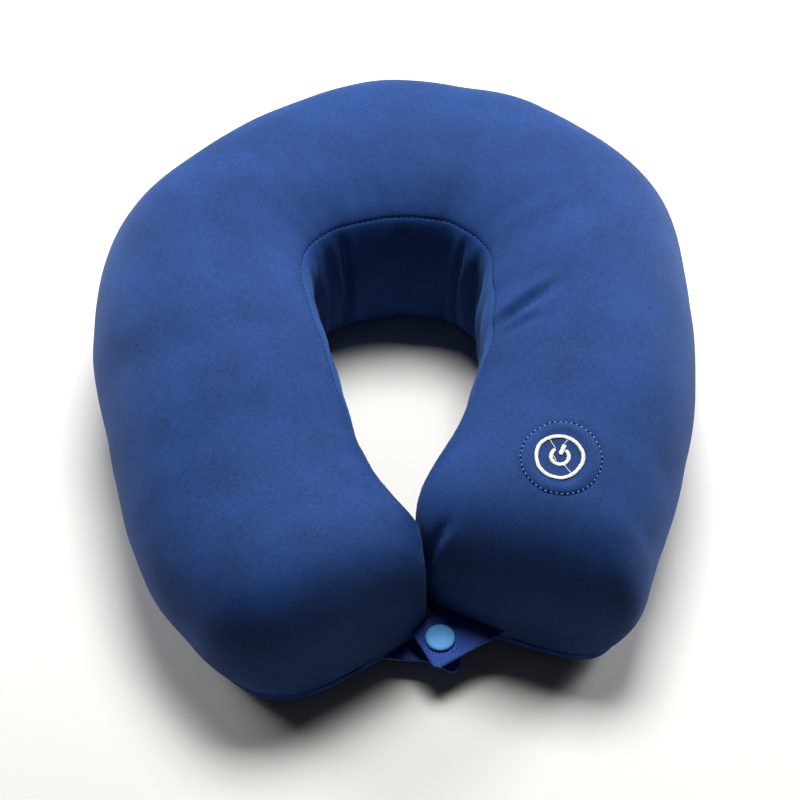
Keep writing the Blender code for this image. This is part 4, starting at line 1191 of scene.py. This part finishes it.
def make_tab(name):
    tab = TABS[name]
    a, b, flat, off = tab_points(tab)
    rib = (a * 0.80 - abs(b) * 0.62) / RIB_PITCH
    strand = (a * 0.62 + abs(b) * 0.80) / 1.1
    relief = 0.24 * np.cos(2 * math.pi * rib) * (0.75 + 0.25 * np.cos(2 * math.pi * strand))
    relief *= smooth_step(0.0, 0.9, TAB_HALF - abs(b) + 0.15)
    relief += 0.14 * smooth_step(TAB_HALF - 1.6, TAB_HALF - 0.8, abs(b)) * np.cos(2 * math.pi * a / 1.3)
    edge = smooth_step(TAB_HALF + 0.2, TAB_HALF - 0.8, abs(b)) * smooth_step(TAB_END + 0.2, TAB_END - 0.7, a)
    middle = tab["bottom"] + TAB_THICKNESS / 2
    from_snap = np.hypot(a, b)
    droop = tab["droop"] * smooth_step(8, 17, from_snap) * smooth_step(-9, 3, a)
    wave = 0.35 * np.sin(a * 0.33 + 0.8) * np.sin(b * 0.24 + 0.4) * smooth_step(7.5, 12, from_snap)
    z = middle - droop + wave
    half = (TAB_THICKNESS / 2 - 0.26) * (0.35 + 0.65 * edge)
    top = np.concatenate((flat, (z + half + relief * edge)[..., None]), -1)
    bottom = np.concatenate((flat, (z - half + relief * edge * 0.8)[..., None]), -1)
    rows, columns = a.shape
    count = rows * columns
    faces = grid_faces(rows, columns)
    if np.cross(top[0, 1] - top[0, 0], top[1, 0] - top[0, 0])[2] < 0:
        faces = faces[:, ::-1]
    rim = [(q, p, p + count, q + count) for p, q in border_edges(faces)]
    every = [*faces.tolist(), *(faces[:, ::-1] + count).tolist(), *rim]
    points = np.concatenate((top.reshape(-1, 3), bottom.reshape(-1, 3)))
    uv = np.concatenate((np.stack((rib, b), -1).reshape(-1, 2),) * 2)
    piece = make_piece(name.replace("snap_tab", "webbing"), points, every, LOOKS["webbing"], uv=uv, sharp=50)
    hinge = np.array((*tab["hinge"], middle))
    out = np.array((*off, 0.0))
    start, end = (hinge - out * 2.5) * MM, (hinge + out * 4.0) * MM
    declare(piece, "webbing", name, blend=(tab["arm"], tab["body"], start, end))


def make_snap():
    for name in TABS:
        make_tab(name)
    low = TABS["lower_snap_tab"]["bottom"]
    high = TABS["upper_snap_tab"]["bottom"]
    top = high + TAB_THICKNESS + 0.25
    r = SNAP_CAP_RADIUS
    base = high - 0.3
    seat = low + TAB_THICKNESS + 0.3
    under = low - 0.3
    shapes = {
        "snap_cap": ("upper_tab", (
            (0, high - 0.1), (1.1, high - 0.1), (1.1, top), (r - 0.5, top), (r, top + 0.35),
            (r - 0.1, top + 1.0), (r - 0.6, top + 1.45), (r - 1.3, top + 1.6), (r - 2.0, top + 1.55),
            (3.0, top + 1.5), (0, top + 1.52))),
        "snap_socket": ("upper_tab", (
            (0, base - 0.5), (3.1, base - 0.5), (3.1, base - 2.9), (3.7, base - 3.05), (4.4, base - 2.9),
            (4.6, base - 1.6), (5.7, base - 1.2), (5.8, base - 0.5), (5.5, base), (0, base))),
        "snap_stud": ("lower_tab", (
            (0, seat), (5.5, seat), (5.8, seat + 0.4), (5.4, seat + 0.85), (2.6, seat + 0.95),
            (1.9, seat + 1.3), (2.25, seat + 2.3), (2.1, seat + 2.8), (1.4, seat + 3.1), (0, seat + 3.15))),
        "snap_rivet": ("lower_tab", (
            (0, seat - 0.3), (1.1, seat - 0.3), (1.1, under), (r - 0.4, under), (r, under - 0.35),
            (r - 0.2, under - 0.85), (r - 1.0, under - 1.2), (3.6, under - 1.45), (0, under - 1.5))),
    }
    for name, (body, profile) in shapes.items():
        points, faces = turned(rounded(profile, 0.3), 72)
        points = points + np.array((*SNAP_PLACE, 0))
        if profile[0][1] > profile[-1][1]:
            faces = [face[::-1] for face in faces]
        piece = make_piece(f"{name}_moulded", points, faces, LOOKS["snap"], sharp=45)
        declare(piece, "snap_plastic", name, body=body)


# The zip.

def on_zip(angle, outward, up):
    """A point beside the zip's middle line: degrees round its arc, and offsets outward and up."""
    a = np.radians(angle)
    r = ZIP_RADIUS + np.asarray(outward, float)
    z = ZIP_HEIGHT + np.asarray(up, float) + 0 * a
    return np.stack(np.broadcast_arrays(ZIP_CENTRE[0] + r * np.cos(a), ZIP_CENTRE[1] + r * np.sin(a), z), -1)


def ribbon(name, angles, profile, look, slot, *nodes, body="back"):
    """A bar along the zip's arc whose section is a closed profile of (outward, up)."""
    rows = [on_zip(angles, out, up) for out, up in profile]
    points = np.stack(rows, 1)
    count, sides = points.shape[:2]
    faces = []
    for i in range(count - 1):
        for k in range(sides):
            n = (k + 1) % sides
            faces.append((i * sides + k, (i + 1) * sides + k, (i + 1) * sides + n, i * sides + n))
    faces.append(tuple(range(sides)))
    faces.append(tuple(range((count - 1) * sides, count * sides))[::-1])
    piece = make_piece(name, points.reshape(-1, 3), faces, LOOKS[look], sharp=60)
    return declare(piece, slot, *nodes, body=body)


def oval(centre, half, segments=12, power=1.0):
    result = []
    for k in range(segments):
        a = 2 * math.pi * k / segments
        c, s = math.cos(a), math.sin(a)
        result.append((centre[0] + half[0] * math.copysign(abs(c) ** power, c),
                       centre[1] + half[1] * math.copysign(abs(s) ** power, s)))
    return result


def make_zip():
    low, high = 90 - ZIP_HALF_ANGLE, 90 + ZIP_HALF_ANGLE
    angles = np.linspace(low - 0.4, high + 0.4, 90)
    for side, name in ((1, "upper"), (-1, "lower")):
        tape = oval((0.0, side * 3.3), (0.38, 1.15), 12, 0.4)
        ribbon(f"zip_tape_{name}_woven", angles, tape, "tape", "zip_tape", f"zip_tape_{name}")
        welt = oval((1.35, side * 5.5), (0.85, 1.45), 14, 0.8)
        ribbon(f"zip_welt_{name}", angles, welt, "cover", "cover_fabric")
        path = on_zip(angles, 0.52, side * 3.4)
        out = np.array((0, 1.0, 0)) + 0 * path
        stitches = stitches_along(path, out, pitch=2.2, length=1.6, width=0.4, height=0.35)
        declare(make_piece(f"zip_stitches_{name}", *stitches, LOOKS["seam_thread"]), "thread", body="back")
        turns = 62
        t = np.linspace(0, 1, turns * 12 + 1)
        phase = 2 * math.pi * turns * t + (0 if side > 0 else math.pi)
        coil = on_zip(low + 0.9 + (high - low - 1.8) * t, 0.62 * np.sin(phase),
                      side * (0.72 + 0.95 * np.cos(phase)))
        points, faces = swept(coil, radius=0.24, sides=6)
        piece = make_piece(f"zip_coil_{name}_wound", points, faces, LOOKS["coil"])
        declare(piece, "zip_coil", f"zip_coil_{name}", body="back")
    for name, angle in (("right", low), ("left", high)):
        ends = np.linspace(angle - 0.42, angle + 0.42, 5)
        ribbon(f"zip_stop_{name}_clamped", ends, oval((0, 0), (0.95, 1.8), 16, 0.6), "zip_metal", "zip_metal",
               f"zip_stop_{name}")
        bar = [on_zip(angle + (0.9 if angle > 90 else -0.9), 1.5, up) for up in np.linspace(-4.6, 4.6, 24)]
        points, faces = swept(np.array(bar), radius=0.75, sides=8)
        piece = make_piece(f"zip_bar_tack_{name}", points, faces, LOOKS["seam_thread"])
        declare(piece, "thread", body="back")
    make_slider()


def bevelled(name, bevel, look):
    """Round the edges of a CAD node's own shape in a copy of it."""
    source = frame["nodes"][name]
    mesh = source.data.copy()
    mesh.materials.clear()
    mesh.materials.append(LOOKS[look])
    piece = bpy.data.objects.new(f"{name}_finished", mesh)
    bpy.context.scene.collection.objects.link(piece)
    weld = piece.modifiers.new("weld", "WELD")
    weld.merge_threshold = 0.00001
    rounding = piece.modifiers.new("bevel", "BEVEL")
    rounding.width = bevel * MM
    rounding.segments = 3
    rounding.limit_method = "ANGLE"
    rounding.angle_limit = math.radians(35)
    apply_modifiers(piece)
    piece.data.shade_smooth()
    piece.data.set_sharp_from_angle(angle=math.radians(50))
    return piece


def make_slider():
    slider = bevelled("zip_slider", 0.22, "zip_metal")
    declare(slider, "zip_metal", "zip_slider", body="zip_slider")
    pull = bevelled("zip_pull", 0.18, "zip_metal")
    declare(pull, "zip_metal", "zip_pull", body="zip_pull")


# What the cover hides keeps its CAD shape, and gets its own finish.

INSIDE = {
    "massager_case_base": "case", "massager_case_cover": "case", "battery_door": "case",
    "switch_housing": "case", "button_plunger": "case", "case_screw_1": "steel", "case_screw_2": "steel",
    "case_screw_3": "steel", "case_screw_4": "steel", "battery_cell_1": "cell", "battery_cell_2": "cell",
    "battery_spring_1": "steel", "battery_spring_2": "steel", "battery_bridge": "steel",
    "vibration_motor": "steel", "motor_shaft": "steel", "eccentric_weight": "brass",
    "cable_back": "black", "cable_arm": "black", "tactile_switch": "black",
}


def finish_inside():
    for name, look in INSIDE.items():
        node = frame["nodes"][name]
        node.data.materials.clear()
        node.data.materials.append(LOOKS[look])


def make_switch_spring():
    """The switch's return spring: a steel copy of the CAD spring that rides on the right arm."""
    mesh = frame["nodes"]["switch_spring"].data.copy()
    mesh.materials.clear()
    mesh.materials.append(LOOKS["steel"])
    spring = bpy.data.objects.new("switch_spring_wound", mesh)
    bpy.context.scene.collection.objects.link(spring)
    declare(spring, "steel", "switch_spring", body="right_arm")
    places = np.array([vertex.co for vertex in mesh.vertices])
    along = places @ BUTTON_NORMAL
    places[along.argmin()]
    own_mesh(spring)


# The floor, the light and the camera.

def aim(thing, target):
    thing.rotation_euler = (Vector(target) - thing.location).to_track_quat("-Z", "Y").to_euler()


def area_light(name, place, target, size, power, colour=(1, 1, 1)):
    light = bpy.data.lights.new(name, "AREA")
    light.shape = "RECTANGLE"
    light.size, light.size_y = size
    light.energy = power
    light.color = colour
    lamp = bpy.data.objects.new(name, light)
    lamp.location = place
    bpy.context.scene.collection.objects.link(lamp)
    aim(lamp, target)


def make_stage():
    mesh = bpy.data.meshes.new("floor")
    reach = 6.0
    mesh.from_pydata([(-reach, -reach, 0), (reach, -reach, 0), (reach, reach, 0), (-reach, reach, 0)], [],
                     [(0, 1, 2, 3)])
    floor = bpy.data.objects.new("floor", mesh)
    floor.location.z = -0.0002
    m = Nodes("floor_paper", 0.75, specular=0.2)
    m.shades(m.noise("Object", (0.02, 0.02, 0.02), 2.0), (0.53, 0.528, 0.514), (0.55, 0.548, 0.534))
    mesh.materials.append(m.material)
    bpy.context.scene.collection.objects.link(floor)
    target = (0.0, -0.02, 0.03)
    area_light("softbox_above", (0.06, 0.36, 1.05), target, (0.55, 0.40), 24.5, (1.0, 0.985, 0.96))
    area_light("softbox_left", (-0.95, 0.66, 0.42), target, (0.5, 0.5), 16.0, (0.97, 0.98, 1.0))
    area_light("softbox_right", (0.98, 0.62, 0.42), target, (0.5, 0.5), 20.0, (0.97, 0.98, 1.0))
    world = bpy.data.worlds.new("studio")
    world.use_nodes = True
    world.node_tree.nodes["Background"].inputs["Color"].default_value = (1.0, 1.0, 0.99, 1)
    world.node_tree.nodes["Background"].inputs["Strength"].default_value = 0.03
    bpy.context.scene.world = world
    bpy.context.scene.view_settings.view_transform = "Standard"


def make_camera():
    target = Vector((0.001, -0.023, 0.045))
    azimuth, elevation, distance = math.radians(-2.6), math.radians(54), 0.95
    back = Vector((math.sin(azimuth) * math.cos(elevation), -math.cos(azimuth) * math.cos(elevation),
                   math.sin(elevation)))
    data = bpy.data.cameras.new("camera")
    data.lens = 85.5
    data.sensor_width = 36
    camera = bpy.data.objects.new("camera", data)
    camera.location = target + back * distance
    bpy.context.scene.collection.objects.link(camera)
    aim(camera, target)
    bpy.context.scene.camera = camera


def main():
    make_camera()
    make_stage()
    rows = row_distances()
    slack = settle_cloth(rows)
    bare = make_top_panels(rows, slack)
    make_gusset_panels(rows, slack)
    make_bottom_panels(rows, slack)
    make_seam_threads(rows, slack)
    make_bags()
    make_button(bare)
    make_snap()
    make_zip()
    finish_inside()
    make_switch_spring()


main()
